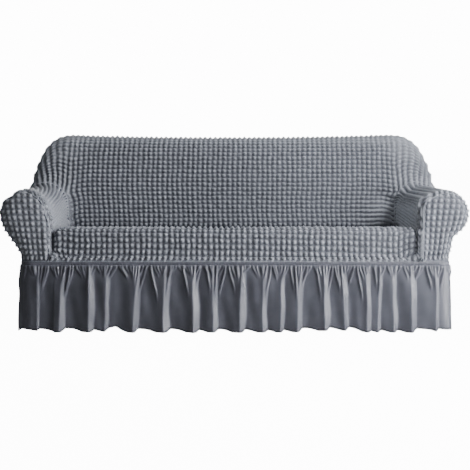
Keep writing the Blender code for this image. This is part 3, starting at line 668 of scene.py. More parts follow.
# Seams and creases
SEAM_REACH = (0.28, 0.48)    # of a bubble, that a seam flattens: on the right and low down, and on the left
REACH_LEVELS = (BAND_TOP + 0.02, BAND_TOP + 0.06)
SEAM_SINK = 0.0036           # a seam lies this far below the tops of the bubbles,
BAND_SINK = 0.0010           # and this far along the band
SINK_LEVELS = (BAND_TOP, BAND_TOP + 0.015)
CREASE_REACH = 0.012         # within this of a crease both panels sink in the same direction
PINCH_FILL = (0.013, 0.022)  # the cloth bridges the groove at the left and right end of the seat front,
PINCH_SINK = (0.014, 0.004)  # and is drawn into a narrow slanting crease there
PINCH_X, PINCH_MIDDLE, PINCH_SLANT = 0.829, BAND_TOP + 0.08, 0.14
PINCH_WIDTHS = (0.030, 0.011)
PINCH_FOOT, PINCH_HEAD = (BAND_TOP, BAND_TOP + 0.025), (SEAT_TOP - 0.04, SEAT_TOP)
PINCH_DEPTHS = (-0.39, -0.34)
TUCK_SINK = 0.030            # of the inside back's foot, pushed down behind the seat
TUCK_LEVELS, TUCK_DEPTHS, TUCK_REAR = (0.418, 0.455), (-0.02, 0.04), 0.20


def waves(u, v, seed, size, count=14):
    """Smooth noise from -1 to 1: a sum of sines in random directions, about size long."""
    rng = np.random.default_rng(seed)
    angle, phase = rng.uniform(0, 2 * np.pi, (2, count))
    rate = 2 * np.pi / size * rng.uniform(0.6, 1.4, count)
    total = 0
    for a, f, r in zip(angle, phase, rate):
        total = total + np.sin(r * (u * np.cos(a) + v * np.sin(a)) + f)
    return total / np.sqrt(count)


def steps_inside(used, most):
    """How many steps each point of a grid lies inside its border, up to most."""
    inside = used.copy()
    count = np.zeros(used.shape)
    for _ in range(most):
        wide = np.pad(inside, 1)
        rows, columns = used.shape
        for i in range(3):
            for j in range(3):
                inside = inside & wide[i : i + rows, j : j + columns]
        count += inside
    return count


def moved(grid, inside, across, down):
    """The grid's points slid along it by up to one step, read between neighbours."""
    free = inside >= 1
    i, j = np.nonzero(free)
    y, x = i + down[free], j + across[free]
    i, j = np.floor(y).astype(int), np.floor(x).astype(int)
    y, x = (y - i)[:, None], (x - j)[:, None]
    result = grid.copy()
    upper = grid[i, j] * (1 - x) + grid[i, j + 1] * x
    lower = grid[i + 1, j] * (1 - x) + grid[i + 1, j + 1] * x
    result[free] = upper * (1 - y) + lower * y
    return result


def no_stretch(p):
    """Strength of the valleys between columns and between rows, and of the whole pattern."""
    one = np.ones(p.shape[:-1])
    return one, one, one


def within(places, p):
    """How far points are inside a region: 0 outside it, 1 well out and up in it."""
    return ease(*places["out"], np.abs(p[..., 0])) * ease(*places["up"], p[..., 2])


def back_stretch(p):
    """Rows fade where the wings meet the arms, columns in the right-hand corner."""
    x, y, z = p[..., 0], p[..., 1], p[..., 2]
    wing = within(WINGS, p) * (1 - 0.75 * ease(*WINGS["end"], z))
    shoulder = within(SHOULDERS, p)
    corner = ease(*CORNER["out"], x) * (1 - ease(*CORNER["up"], z))
    deep = ease(*CORNER_DEEP["out"], x) * (1 - ease(*CORNER_DEEP["up"], z))
    columns = 1 - 0.80 * corner - 0.15 * shoulder
    rows = 1 - 0.75 * wing - 0.15 * shoulder
    side = ease(*BACK_END_DEPTHS, y) * (np.abs(x) > BACK_END_OUT)
    edge = np.maximum(0.35 * ease(*BACK_TOP_LEVELS, z), 0.40 * side)
    return columns, rows, 1 - 0.20 * shoulder - 0.45 * deep - edge


def arm_stretch(p):
    """Along the inner face only fine lines are left, that run forwards; over the roll they are ribs."""
    x, y, z = p[..., 0], p[..., 1], p[..., 2]
    behind_edge = np.where(x < 0, *(ease(*depths, y) for depths in ARM_EDGES))
    over = np.abs(x) + ARM_OVER_LOWER * (1 - ease(*ARM_OVER_LEVELS, z))
    inner = (1 - ease(*ARM_OVER, over)) * behind_edge
    ribs = ease(*RIBS_DEPTHS, y) * ease(*RIBS_LEVELS, z)
    strip = (1 - behind_edge) * (1 - ease(*ARM_STRIP, np.abs(x))) * np.where(x < 0, 0.35, 0.05)
    outer = ease(*ARM_OUTER, over) * (0.15 + 0.25 * ease(*ARM_OUTER_DEPTHS, y))
    rows = 1 - 0.10 * inner * (1 - ribs)
    return 1 - 0.92 * inner, rows, 1 + strip - outer - (0.50 - 0.40 * ribs) * inner


def seat_stretch(p):
    """The bubbles are a little flatter towards the arms."""
    flatter = 1 - 0.10 * ease(*SEAT_END, np.abs(p[..., 0]))
    return flatter, flatter, flatter


def front_stretch(p):
    """The bubbles of the left arm front are a little flatter than those of the right."""
    one = np.ones(p.shape[:-1])
    return one, one, np.where(p[..., 0] < 0, 0.75, 1.10)


def straight(u, v, p):
    """Lines of bubbles along the grid's own lines."""
    return u, v


def upright(u, v, p):
    """Upright columns and level rows, cut off by the panel's outline."""
    width = FRONT_COLUMN * (1 + FRONT_LEAN * (p[..., 2] - ROLL_Z))
    return (np.abs(p[..., 0]) - ARM_INNER) / width, (p[..., 2] - BAND_TOP) / FRONT_ROW


def dropping(u, v, p):
    """Lines that drop towards the front on the inner face, closer together there than over the roll."""
    left, right = (drop * (1 - ease(*rows, v)) for drop, rows in zip(LINE_DROP, DROP_FADES))
    slant = np.where(p[..., 0] < 0, left, right)
    v = v + slant * np.clip(DROP + SEAT - u, 0, None) / (DROP + SEAT)
    return u, v + (LINE_CROWDING - 1) * np.minimum(v - LOW, 0)


def pinched(p):
    """Depth of the crease between the end of the seat front and the arm front, fading round it."""
    x, y, z = np.abs(p[..., 0]), p[..., 1], p[..., 2]
    along = ease(*PINCH_FOOT, z) * (1 - ease(*PINCH_HEAD, z))
    away = x - PINCH_X + PINCH_SLANT * (z - PINCH_MIDDLE)
    narrow = np.where(p[..., 0] < 0, *PINCH_SINK) * np.exp(-((away / PINCH_WIDTHS[1]) ** 2))
    wide = np.where(p[..., 0] < 0, *PINCH_FILL) * np.exp(-(((x - PINCH_X) / PINCH_WIDTHS[0]) ** 2))
    return (narrow - wide) * along * (1 - ease(*PINCH_DEPTHS, y))


def tucked(p):
    """1 at the foot of the inside back, where it is pushed down behind the seat."""
    before = (p[..., 1] < TUCK_REAR) & (np.abs(p[..., 0]) < ARM_CORE_X)
    return (1 - ease(*TUCK_LEVELS, p[..., 2])) * ease(*TUCK_DEPTHS, p[..., 1]) * before


def sinking(p, field):
    """The direction in which cloth sinks: against its field, and near a crease against both."""
    other = frame_field if field is seat_field else seat_field
    share = np.exp(-((other(p) / CREASE_REACH) ** 2))
    share = share * ease(BAND_TOP, BAND_TOP + PULL_IN, p[..., 2])
    own = unit(slope_of(field, p))
    return -unit(own + share[..., None] * unit(slope_of(other, p)))


def shaken(grid, inside, seed):
    """The grid with its points slid along it in slow waves, but for its border."""
    i, j = np.mgrid[0 : grid.shape[0], 0 : grid.shape[1]]
    strength = SLIDE * bpy.context.scene.cover_sizes.unevenness * np.minimum(inside / CELL, 1)
    slides = []
    for first in (seed, seed + 2):
        total = 0
        for number, (height, length) in enumerate(SLIDE_WAVES):
            total = total + height * waves(j / CELL, i / CELL, first + number, length)
        slides.append(0.95 * np.clip(strength * total, -1, 1))
    return moved(grid, inside, *slides)


def puffed(grid, field, stretch, seed, lines=straight):
    """The bubbles: each is a pillow (1 - |2a - 1|^n)(1 - |2b - 1|^n) in its cell, a little uneven.

    The grid is a top surface; the cloth goes in below it by the depth times one less the pillow.
    """
    sizes = bpy.context.scene.cover_sizes
    used = ~np.isnan(grid[..., 0])
    inside = steps_inside(used, CELL)
    i, j = np.nonzero(used)
    p = shaken(grid, inside, seed)[used]
    inside = inside[used] / CELL
    u, v = lines(j / CELL, i / CELL, p)
    a, b = 2 * (u % 1) - 1, 2 * (v % 1) - 1
    pillow_u, pillow_v = ((1 - np.abs(c) ** sizes.crown) ** PEAK for c in (a, b))
    columns, rows, amount = stretch(p)
    puff = (1 - columns * (1 - pillow_u)) * (1 - rows * (1 - pillow_v))
    # what makes each bubble differ from the next
    rng = np.random.default_rng(seed + 4)
    count = np.array(grid.shape[:2]) // CELL + 12
    height, lean, nod, twist = rng.normal(0, 1, (4, *count))
    cell = (np.floor(v).astype(int) % count[0], np.floor(u).astype(int) % count[1])
    own = OWN_HEIGHT * height[cell] + OWN_LEAN * (lean[cell] * a + nod[cell] * b)
    own = own + OWN_TWIST * twist[cell] * a * b
    own = own + CRUMPLE * waves(u, v, seed + 5, CRUMPLE_LENGTH)
    puff = puff + sizes.unevenness * np.minimum(columns, rows) * pillow_u * pillow_v * own
    # the cloth is flat at a seam
    sink = sizes.depth * amount * (1 - puff)
    seam = BAND_SINK + (SEAM_SINK - BAND_SINK) * ease(*SINK_LEVELS, p[:, 2])
    wide = (p[:, 0] < 0) * ease(*REACH_LEVELS, p[:, 2])
    at_seam = 1 - ease(0, SEAM_REACH[0] + (SEAM_REACH[1] - SEAM_REACH[0]) * wide, inside)
    sink = sink + (seam - sink) * at_seam
    floor = np.maximum(sizes.depth * amount, seam) * (1 - at_seam) + seam * at_seam + sizes.lining
    whole = pinched(p) + TUCK_SINK * tucked(p)
    direction = sinking(p, field)
    outer, inner = np.full((2, *grid.shape), np.nan)
    outer[used] = p + direction * (whole + sink)[:, None]
    inner[used] = p + direction * (whole + floor)[:, None]
    # The puff level, 0 in a valley and 1 on a top, by which the finish paints the valleys darker, partly as
    # painted shade
    level = np.zeros(grid.shape[:2])
    level[used] = 1 - sink / sizes.depth
    return outer, inner[::CELL, ::CELL], level


def cells(grid):
    """The four-cornered faces of a grid, leaving out those with an unused corner."""
    rows, columns = grid.shape[:2]
    number = np.arange(rows * columns).reshape(rows, columns)
    faces = np.stack([number[:-1, :-1], number[:-1, 1:], number[1:, 1:], number[1:, :-1]], -1).reshape(-1, 4)
    used = ~np.isnan(grid[..., 0]).reshape(-1)
    return faces[used[faces].all(axis=1)]


def border(faces, count):
    """The open edges of a sheet, each as it runs in its one face."""
    edges = np.concatenate([faces[:, [i, (i + 1) % 4]] for i in range(4)])
    code, back = edges[:, 0] * count + edges[:, 1], edges[:, 1] * count + edges[:, 0]
    return edges[~np.isin(code, back)]


def puffed_sheet(outer, inner, turned):
    """A closed sheet: the fine outer layer, a coarse inner one, and fans of triangles round the border."""
    fine, coarse = cells(outer), cells(inner)
    if turned:
        fine, coarse = fine[:, ::-1], coarse[:, ::-1]
    columns, width = inner.shape[1], outer.shape[1]
    edges = border(coarse, inner.shape[0] * columns)
    start = np.stack(np.divmod(edges[:, 0], columns), -1)
    step = np.stack(np.divmod(edges[:, 1], columns), -1) - start
    at = start[:, None] * CELL + step[:, None] * np.arange(CELL + 1)[None, :, None]
    at = at[..., 0] * width + at[..., 1]
    offset = outer.shape[0] * width
    ends = edges + offset
    half = CELL // 2
    first = [np.stack([at[:, k + 1], at[:, k], ends[:, 0]], -1) for k in range(half)]
    last = [np.stack([at[:, k + 1], at[:, k], ends[:, 1]], -1) for k in range(half, CELL)]
    middle = [np.stack([at[:, half], ends[:, 0], ends[:, 1]], -1)]
    vertices = np.concatenate([outer.reshape(-1, 3), inner.reshape(-1, 3)])
    quads = np.concatenate([fine, coarse[:, ::-1] + offset])
    return vertices, quads, np.concatenate(first + middle + last)


# ---- Meshes


def make_object(name, vertices, quads, triangles=None, uv=None, level=None):
    """A mesh object from arrays, without its unused vertices, shaded smooth."""
    triangles = np.empty((0, 3), int) if triangles is None else triangles
    loops = np.concatenate([quads.ravel(), triangles.ravel()])
    used, loops = np.unique(loops, return_inverse=True)
    loops = loops.ravel()
    sizes = np.concatenate([np.full(len(quads), 4), np.full(len(triangles), 3)])
    mesh = bpy.data.meshes.new(name)
    mesh.vertices.add(len(used))
    mesh.vertices.foreach_set("co", (vertices[used] + SHIFT).astype(np.float32).ravel())
    mesh.loops.add(len(loops))
    mesh.loops.foreach_set("vertex_index", loops.astype(np.int32))
    mesh.polygons.add(len(sizes))
    mesh.polygons.foreach_set("loop_start", (np.cumsum(sizes) - sizes).astype(np.int32))
    mesh.update(calc_edges=True)
    if uv is not None:
        layer = mesh.uv_layers.new(name="cloth")
        layer.data.foreach_set("uv", uv[used][loops].astype(np.float32).ravel())
    if level is not None:
        attribute = mesh.attributes.new("puff", "FLOAT", "POINT")
        attribute.data.foreach_set("value", level[used].astype(np.float32))
    mesh.validate()
    mesh.shade_smooth()
    piece = bpy.data.objects.new(name, mesh)
    bpy.context.scene.collection.objects.link(piece)
    return piece


def puffed_piece(node, grid, field, stretch, seed, lines=straight):
    """One panel of bubble cloth."""
    outer, inner, level = puffed(grid, field, stretch, seed, lines)
    used = ~np.isnan(grid[..., 0])
    i, j = np.nonzero(used[:-1, :-1] & used[1:, 1:])
    i, j = i[len(i) // 2], j[len(j) // 2]
    facing = np.cross(grid[i, j + 1] - grid[i, j], grid[i + 1, j] - grid[i, j])
    turned = facing @ slope_of(field, grid[i, j]) < 0
    vertices, quads, triangles = puffed_sheet(outer, inner, turned)
    row, column = np.mgrid[0 : grid.shape[0], 0 : grid.shape[1]]
    uv = np.stack([column, row], -1) / CELL
    uv = np.concatenate([uv.reshape(-1, 2), uv[::CELL, ::CELL].reshape(-1, 2)])
    level = np.concatenate([level.ravel(), np.zeros(inner.shape[0] * inner.shape[1])])
    piece = make_object(node + "_cloth", vertices, quads, triangles, uv, level)
    piece.data.materials.append(bubble_cloth())
    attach(piece, "root")
    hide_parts(node)


# ---- Skirt

SKIRT_SEAM_X = 0.81
SKIRT_FLARE, FLARE_POWER = 0.006, 1.3      # how far the hem stands out, and how late it does
# Crests of the front folds: place at the hem, how far each stands out there, and how much further
# along the band it starts
FRONT_FOLDS = (
    ("x", "depth", "lean"),
    (-0.79, 0.012, 0.006), (-0.66, 0.014, 0.002), (-0.59, 0.009, 0.012), (-0.46, 0.013, 0.010),
    (-0.325, 0.015, 0.004), (-0.19, 0.015, -0.002), (-0.10, 0.012, -0.006), (0.02, 0.015, 0.000),
    (0.12, 0.012, 0.006), (0.20, 0.010, 0.008), (0.28, 0.012, 0.000), (0.40, 0.014, -0.002),
    (0.49, 0.010, -0.006), (0.59, 0.011, -0.004), (0.64, 0.008, 0.004), (0.71, 0.010, -0.004),
    (0.79, 0.012, -0.002),
)
SIDE_PITCHES = (0.11, 0.08, 0.10, 0.13, 0.07, 0.12, 0.09)
SIDE_DEPTHS = (0.007, 0.005, 0.007, 0.008, 0.005)
HEM_LIFTS = (
    ("x", "lift"),
    (-0.97, 0.000), (-0.80, 0.003), (-0.57, 0.004), (-0.54, 0.012), (-0.51, 0.002), (-0.46, 0.000),
    (0.21, 0.000), (0.30, 0.004), (0.40, 0.010), (0.54, 0.009), (0.59, 0.002), (0.64, 0.000),
    (0.80, 0.000), (0.88, 0.005), (0.94, 0.000),
)
SIDE_LIFT, SIDE_LIFT_SWING, SIDE_LIFT_LENGTH = 0.005, 0.004, 1.23
HEM_DIP = 0.014              # how much lower the hem is under a crest than in a valley
HEM_DEPTH = 0.011            # of the hem, up to its line of stitches
STITCH_WIDTH = 0.0024

FOLD_AT_BAND = 0.10          # of a fold's depth at the hem
FOLD_LATE, FOLD_EARLY = 0.45, 0.55         # of the rest, gained evenly and gained near the band
FOLD_GROWS = 0.30            # level by which the early share is gained
CREST_RISE = 1.9             # of its depth, above the valley beside it
CREST_RIGHT, CREST_LEFT = 1.9, 0.088       # a crest falls away steeply on its right, slowly on its left
CREST_POWER = 1.4
CREST_ROUNDING = 0.16        # of its height
CREST_SWELL, SWELL_TURNS = 0.12, 1.3       # a fold is wider and narrower on its way down
FOLD_SWAY, SWAY_TURNS = 0.0013, (0.8, 2.1)      # and its crest isn't quite straight
FOLD_STAGGER = 0.37          # of a turn, that each fold is out of step with the last
SLACK, SLACK_LENGTH = 0.0016, 0.04         # low swells of the cloth between the folds

GATHER_PITCH = 0.0140
GATHER_JITTER = 0.35         # of the pitch
GATHER_PULL = 0.50           # of its way to the nearest fold, that a gather is drawn
GATHER_RIGHT, GATHER_LEFT = 0.0036, 0.0056
LONG_SHARE = 0.22            # of the gathers, which run further down than the others
GATHER_REACHES, LONG_REACHES = (0.09, 0.22), (0.28, 0.55)
GATHER_DEPTHS = (0.6, 1.2)
SHORT_DEPTH, LONG_DEPTH = 0.9, 1.15
PLEAT_PITCH, PLEAT_DEPTH = 0.0105, 0.0008  # of the finest pleats, under the band
PLEAT_REACH = 0.04
PLEAT_SHIFT, PLEAT_SHIFT_LENGTH = 0.35, 0.05    # of a pitch, that they wander

SKIRT_STEP = 0.0026          # steps of the mesh along the front of the skirt
COARSER = 1.15               # steps along the other three lengths
SKIRT_ROWS = 36
ROWS_CLOSER = 0.45           # how much closer the rows lie near the band
SKIRT_TUCK = 0.012           # of its height, that the top edge goes up behind the band
SKIRT_LAP = 0.006            # a length of the skirt runs this far over the next
END_REACH = 0.035            # how far from an end its move in or out dies away


def crest_of(distance, right, left):
    """A rounded crest: exp(-(d / w)^2), with one width to its right and another to its left."""
    return np.exp(-((distance / np.where(distance > 0, right, left)) ** 2))


def fold_of(distance, right):
    """A sharp crest: a slow climb on its left that steepens to the crest, and a steep fall on its right."""
    along = 1 + distance / CREST_LEFT
    climb = np.sign(along) * np.abs(along) ** CREST_POWER
    return smooth_max(smooth_min(climb, 1 - distance / right, CREST_ROUNDING), 0, CREST_ROUNDING)


@functools.lru_cache(maxsize=None)
def folds():
    """Place along the rail at the hem, depth and lean of every fold, once round."""
    front = np.array(FRONT_FOLDS[1:])
    start, end = front[-1, 0], RAIL_LENGTH + front[0, 0]
    pitches = np.resize(SIDE_PITCHES, int((end - start) / np.mean(SIDE_PITCHES)))
    rest = start + np.cumsum(pitches) * (end - start) / pitches.sum()
    depth = np.resize(SIDE_DEPTHS, len(rest) - 1)
    return np.concatenate([front, np.stack([rest[:-1], depth, 0 * depth], -1)])


@functools.lru_cache(maxsize=None)
def gathers():
    """Place at the band, place where it ends, level where it ends and depth of every gather."""
    rng = np.random.default_rng(31)
    count = int(RAIL_LENGTH / GATHER_PITCH)
    jitter = rng.uniform(-GATHER_JITTER, GATHER_JITTER, count)
    start = (np.arange(count) + jitter) * RAIL_LENGTH / count
    apart = way(folds()[None, :, 0], start[:, None])
    nearest = np.take_along_axis(apart, np.abs(apart).argmin(axis=1)[:, None], 1)[:, 0]
    long = rng.random(count) < LONG_SHARE
    reach = np.where(long, rng.uniform(*LONG_REACHES, count), rng.uniform(*GATHER_REACHES, count))
    depth = rng.uniform(*GATHER_DEPTHS, count) * np.where(long, LONG_DEPTH, SHORT_DEPTH)
    return np.stack([start, start + GATHER_PULL * nearest, reach, depth], -1)


def hem_lift(s, x, y, rise):
    """Height of the hem above the floor: more in the valleys, and uneven along the front and the sides."""
    lifts = np.array(HEM_LIFTS[1:])
    front = np.interp(x, lifts[:, 0], lifts[:, 1])
    side = SIDE_LIFT + SIDE_LIFT_SWING * np.sin(2 * np.pi * s / SIDE_LIFT_LENGTH)
    lift = front + (side - front) * ease(RAIL_FRONT, 0, y)
    return lift + HEM_DIP * (1 - np.clip(rise / folds()[:, 1].mean(), 0, 1))


def skirt_surface(s, level):
    """The skirt's cloth at distance s along the rail, level 0 at the band to 1 at the hem.

    It is a sum of crests: folds that rise towards the hem, gathers that run from the band
    towards their nearest fold and die out on the way, and fine pleats under the band.
    """
    share = FOLD_LATE * level + FOLD_EARLY * ease(0.0, FOLD_GROWS, level)
    share = FOLD_AT_BAND + (1 - FOLD_AT_BAND) * share
    rise = np.zeros(s.shape)
    for number, (crest, depth, lean) in enumerate(folds()):
        turn = 2 * np.pi * (level + FOLD_STAGGER * number)
        sway = FOLD_SWAY * (np.sin(SWAY_TURNS[0] * turn) + 0.5 * np.sin(SWAY_TURNS[1] * turn))
        swell = 1 + CREST_SWELL * np.sin(SWELL_TURNS * turn)
        distance = way(s, crest + lean * (1 - level) + sway)
        rise = rise + depth * fold_of(distance, CREST_RIGHT * depth * swell)
    out = SKIRT_FLARE * np.maximum(level, 0) ** FLARE_POWER + share * CREST_RISE * rise
    out = out + SLACK * share * waves(s / SLACK_LENGTH, 2 * level, 35, 1.5)
    gather = bpy.context.scene.cover_sizes.gather
    for start, end, reach, depth in gathers():
        distance = way(s, start + (end - start) * ease(0, reach, level))
        life = 1 - ease(0.5 * reach, 1.1 * reach, level)
        out = out + gather * depth * life * crest_of(distance, GATHER_RIGHT, GATHER_LEFT)
    shift = PLEAT_SHIFT * waves(s / PLEAT_SHIFT_LENGTH, 0, 33, 1.5)
    pleats = np.sin(2 * np.pi * (s / PLEAT_PITCH + shift))
    out = out + PLEAT_DEPTH * pleats * np.exp(-level / PLEAT_REACH)
    out = out * ease(-SKIRT_TUCK, 0, level)
    place, outward = rail_point(s)
    top = BAND_BOTTOM - SEAM_INSET
    z = top + (hem_lift(s, place[..., 0], place[..., 1], rise) - top) * level
    return place + outward * out[..., None] + points(0, 0, z)


def skirt_piece(node, start, end, ends_out, step):
    """One length of the skirt as a closed thin sheet, its ends moved out or in at the hem."""
    lining = bpy.context.scene.cover_sizes.lining
    s = np.linspace(start - SKIRT_LAP, end + SKIRT_LAP, int((end - start) / step) + 1)
    t = np.linspace(0, 1, SKIRT_ROWS + 1)
    level = (1 - ROWS_CLOSER) * t + ROWS_CLOSER * t**2
    level[0] = -SKIRT_TUCK
    s, level = np.broadcast_arrays(s[None, :], level[:, None])
    grid = skirt_surface(s, level)
    near_end = sum(np.exp(-(((s - place) / END_REACH) ** 2)) for place in (start, end))
    grid = grid + rail_point(s)[1] * (ends_out * near_end * ease(0.05, 1.0, level))[..., None]
    grid[..., 2] = np.maximum(grid[..., 2], lining)
    across, down = np.gradient(grid, axis=1), np.gradient(grid, axis=0)
    half = unit(np.cross(down, across)) * lining / 2
    faces = cells(grid)[:, ::-1]
    offset = level.size
    edges = border(faces, offset)
    rim = np.stack([edges[:, 1], edges[:, 0], edges[:, 0] + offset, edges[:, 1] + offset], -1)
    quads = np.concatenate([faces, faces[:, ::-1] + offset, rim])
    uv = np.stack([s, -level * BAND_BOTTOM], -1).reshape(-1, 2)
    vertices = np.concatenate([(grid + half).reshape(-1, 3), (grid - half).reshape(-1, 3)])
    piece = make_object(node + "_cloth", vertices, quads, uv=np.concatenate([uv, uv]))
    piece.data.materials.append(plain_cloth())
    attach(piece, "root")
    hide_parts(node)


BAND_THICKNESS = 0.0022
PUCKER, PUCKER_PITCH = 0.0005, 0.0085
# The band's section, once round it: share of its height, how far out in 1.6ths of its
# thickness, and share of the pucker
SECTION_UNITS = 1.6
BAND_SECTION = (
    ("height", "out", "pucker"),
    (1.0, -0.6, 0.0), (0.96, 0.0, 0.6), (0.75, 0.35, 1.0), (0.5, 0.45, 1.0), (0.25, 0.35, 1.0),
    (0.04, 0.0, 0.6), (0.0, -0.6, 0.0), (0.0, -1.6, 0.0), (0.9, -1.6, 0.0), (0.9, -5.0, 0.0),
    (1.0, -5.0, 0.0),
)


def band_piece():
    """The band: a flat rounded section carried round the rail, puckered by its gathers."""
    count = int(RAIL_LENGTH / SKIRT_STEP)
    s = np.linspace(0, RAIL_LENGTH, count, endpoint=False)[None, :]
    height, out, pucker = np.array(BAND_SECTION[1:]).T[..., None]
    out = out * BAND_THICKNESS / SECTION_UNITS
    ripple = PUCKER * waves(s / PUCKER_PITCH, height * 0.6, 77, 1.2)
    place, outward = rail_point(s)
    ring = place + outward * (out + pucker * ripple)[..., None]
    ring[..., 2] = BAND_BOTTOM + (BAND_TOP - SEAM_INSET - BAND_BOTTOM) * height
    number = np.arange(len(height) * count).reshape(-1, count)
    below, ahead = np.roll(number, -1, axis=0), np.roll(number, -1, axis=1)
    quads = np.stack([number, below, np.roll(below, -1, axis=1), ahead], -1).reshape(-1, 4)
    uv = np.stack(np.broadcast_arrays(s, height * (BAND_TOP - BAND_BOTTOM)), -1).reshape(-1, 2)
    piece = make_object("skirt_band_cloth", ring.reshape(-1, 3), quads, uv=uv)
    piece.data.materials.append(plain_cloth())
    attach(piece, "root")
    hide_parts("skirt_band")


# ---- Finishes


SHEEN, SHEEN_ROUGHNESS, SHEEN_TINT = 0.12, 0.35, (0.80, 0.84, 0.95, 1)
VALLEY_PUFF, BUBBLE_PUFF = 0.10, 0.75      # how puffed the cloth is where each of its colours is full
STITCH_SHADE = 0.65


def add_node(tree, kind, inputs, operation=None):
    """A shader node, with some of its inputs set to values or linked to other nodes' outputs."""
    node = tree.nodes.new(kind)
    if operation:
        node.operation = operation
    for socket, value in inputs.items():
        if isinstance(value, bpy.types.NodeSocket):
            tree.links.new(value, node.inputs[socket])
        else:
            node.inputs[socket].default_value = value
    return node


def cloth_material(name, roughness):
    """A new cloth finish: its material, its nodes, its shader and the places on the cloth."""
    material = bpy.data.materials.new(name)
    material.use_nodes = True
    tree = material.node_tree
    shader = tree.nodes["Principled BSDF"]
    shader.inputs["Roughness"].default_value = roughness
    shader.inputs["Sheen Weight"].default_value = SHEEN
    shader.inputs["Sheen Roughness"].default_value = SHEEN_ROUGHNESS
    shader.inputs["Sheen Tint"].default_value = SHEEN_TINT
    shader.inputs["Specular IOR Level"].default_value = 0.35
    return material, tree, shader, tree.nodes.new("ShaderNodeTexCoord").outputs


def blotches(tree, place, scale, detail, low, high):
    """A shade from low to high that changes slowly over the cloth."""
    noise = {"Vector": place["Object"], "Scale": scale, "Detail": detail}
    noise = add_node(tree, "ShaderNodeTexNoise", noise)
    shade = {"Value": noise.outputs["Fac"], "From Min": 0.3, "From Max": 0.7, "To Min": low, "To Max": high}
    return add_node(tree, "ShaderNodeMapRange", shade).outputs["Result"]


def weave(tree, place, threads, strength, height):
    """A plain weave's relief: two crossing sets of fine waves along the cloth's own map."""
    sets = []
    for direction in ("X", "Y"):
        inputs = {"Vector": place["UV"], "Scale": threads, "Distortion": 0.6, "Detail": 1.0}
        wave = add_node(tree, "ShaderNodeTexWave", inputs)
        wave.bands_direction = direction
        sets.append(wave.outputs["Fac"])
    both = add_node(tree, "ShaderNodeMath", {0: sets[0], 1: sets[1]}, "MULTIPLY")
    relief = {"Strength": strength, "Distance": height, "Height": both.outputs[0]}
    return add_node(tree, "ShaderNodeBump", relief).outputs["Normal"]


@functools.lru_cache(maxsize=None)
def bubble_cloth():
    """Matt stretch cloth with a silvery sheen, finely crinkled. Its colour is darker in the valleys: partly
    the elastic thread's own colour, partly painted shade in the hollows between the bubbles.
    """
    colours = bpy.context.scene.cover_colours
    material, tree, shader, place = cloth_material("bubble_cloth", 0.58)
    puff = tree.nodes.new("ShaderNodeAttribute")
    puff.attribute_name = "puff"
    # Ramp from the valley colour to the bubble colour by the puff level: the darker valleys are painted
    # shade as well as the thread's colour
    ramp = add_node(tree, "ShaderNodeValToRGB", {"Fac": puff.outputs["Fac"]})
    stops = ((VALLEY_PUFF, colours.valley_thread_and_shade), (BUBBLE_PUFF, colours.bubble))
    for element, (position, colour) in zip(ramp.color_ramp.elements, stops):
        element.position = position
        element.color = (*colour, 1)
    tone = {0: ramp.outputs["Color"], "Scale": blotches(tree, place, 38.0, 3.0, 0.88, 1.10)}
    tone = add_node(tree, "ShaderNodeVectorMath", tone, "SCALE")
    tree.links.new(tone.outputs["Vector"], shader.inputs["Base Color"])
    crinkle = {"Vector": place["Object"], "Scale": 260.0, "Detail": 3.0}
    crinkle = add_node(tree, "ShaderNodeTexNoise", crinkle)
    relief = {"Strength": 0.9, "Distance": 0.0030, "Height": crinkle.outputs["Fac"]}
    relief["Normal"] = weave(tree, place, 14.0, 0.25, 0.0004)
    relief = add_node(tree, "ShaderNodeBump", relief)
    tree.links.new(relief.outputs["Normal"], shader.inputs["Normal"])
    return material


@functools.lru_cache(maxsize=None)
def plain_cloth():
    """Smooth plain weave with a faint satin sheen and a line of stitches above the hem."""
    colours = bpy.context.scene.cover_colours
    material, tree, shader, place = cloth_material("plain_cloth", 0.42)
    up = add_node(tree, "ShaderNodeSeparateXYZ", {"Vector": place["UV"]}).outputs["Y"]
    stitches = {0: up, 1: HEM_DEPTH - BAND_BOTTOM, 2: STITCH_WIDTH / 2}
    stitches = add_node(tree, "ShaderNodeMath", stitches, "COMPARE")
    sunk = {"Value": stitches.outputs["Value"], "To Min": 1.0, "To Max": STITCH_SHADE}
    sunk = add_node(tree, "ShaderNodeMapRange", sunk)
    shade = {0: blotches(tree, place, 22.0, 2.0, 0.93, 1.06), 1: sunk.outputs["Result"]}
    shade = add_node(tree, "ShaderNodeMath", shade, "MULTIPLY")
    tone = {0: colours.plain, "Scale": shade.outputs["Value"]}
    tone = add_node(tree, "ShaderNodeVectorMath", tone, "SCALE")
    tree.links.new(tone.outputs["Vector"], shader.inputs["Base Color"])
    tree.links.new(weave(tree, place, 320.0, 0.20, 0.0003), shader.inputs["Normal"])
    return material


# ---- Operators, one for each piece or group of like pieces


class BuildBack(bpy.types.Operator):
    """Makes the inside back and the outside back"""

    bl_idname = "slipcover.back"
    bl_label = "Build the back"

    def execute(self, context):
        puffed_piece("back_inside", back_grid(), frame_field, back_stretch, 100)
        puffed_piece("back_outside", outside_grid(), frame_field, no_stretch, 200)
        return {"FINISHED"}


class BuildSeat(bpy.types.Operator):
    """Makes the seat, with its front"""

    bl_idname = "slipcover.seat"
    bl_label = "Build the seat"

    def execute(self, context):
        puffed_piece("seat", seat_grid(), seat_field, seat_stretch, 300)
        return {"FINISHED"}


class BuildArms(bpy.types.Operator):
    """Makes both arms, each with its inner face, roll and outer side"""

    bl_idname = "slipcover.arms"
    bl_label = "Build the arms"

    def execute(self, context):
        for side, node in ((-1, "arm_left"), (1, "arm_right")):
            seed = 500 + 50 * side
            puffed_piece(node, arm_grid(side), frame_field, arm_stretch, seed, dropping)
        return {"FINISHED"}


class BuildArmFronts(bpy.types.Operator):
    """Makes both arm fronts"""

    bl_idname = "slipcover.arm_fronts"
    bl_label = "Build the arm fronts"

    def execute(self, context):
        for side, node in ((-1, "arm_front_left"), (1, "arm_front_right")):
            seed = 700 + 50 * side
            grid = front_grid(side)
            puffed_piece(node, grid, frame_field, front_stretch, seed, upright)
        return {"FINISHED"}


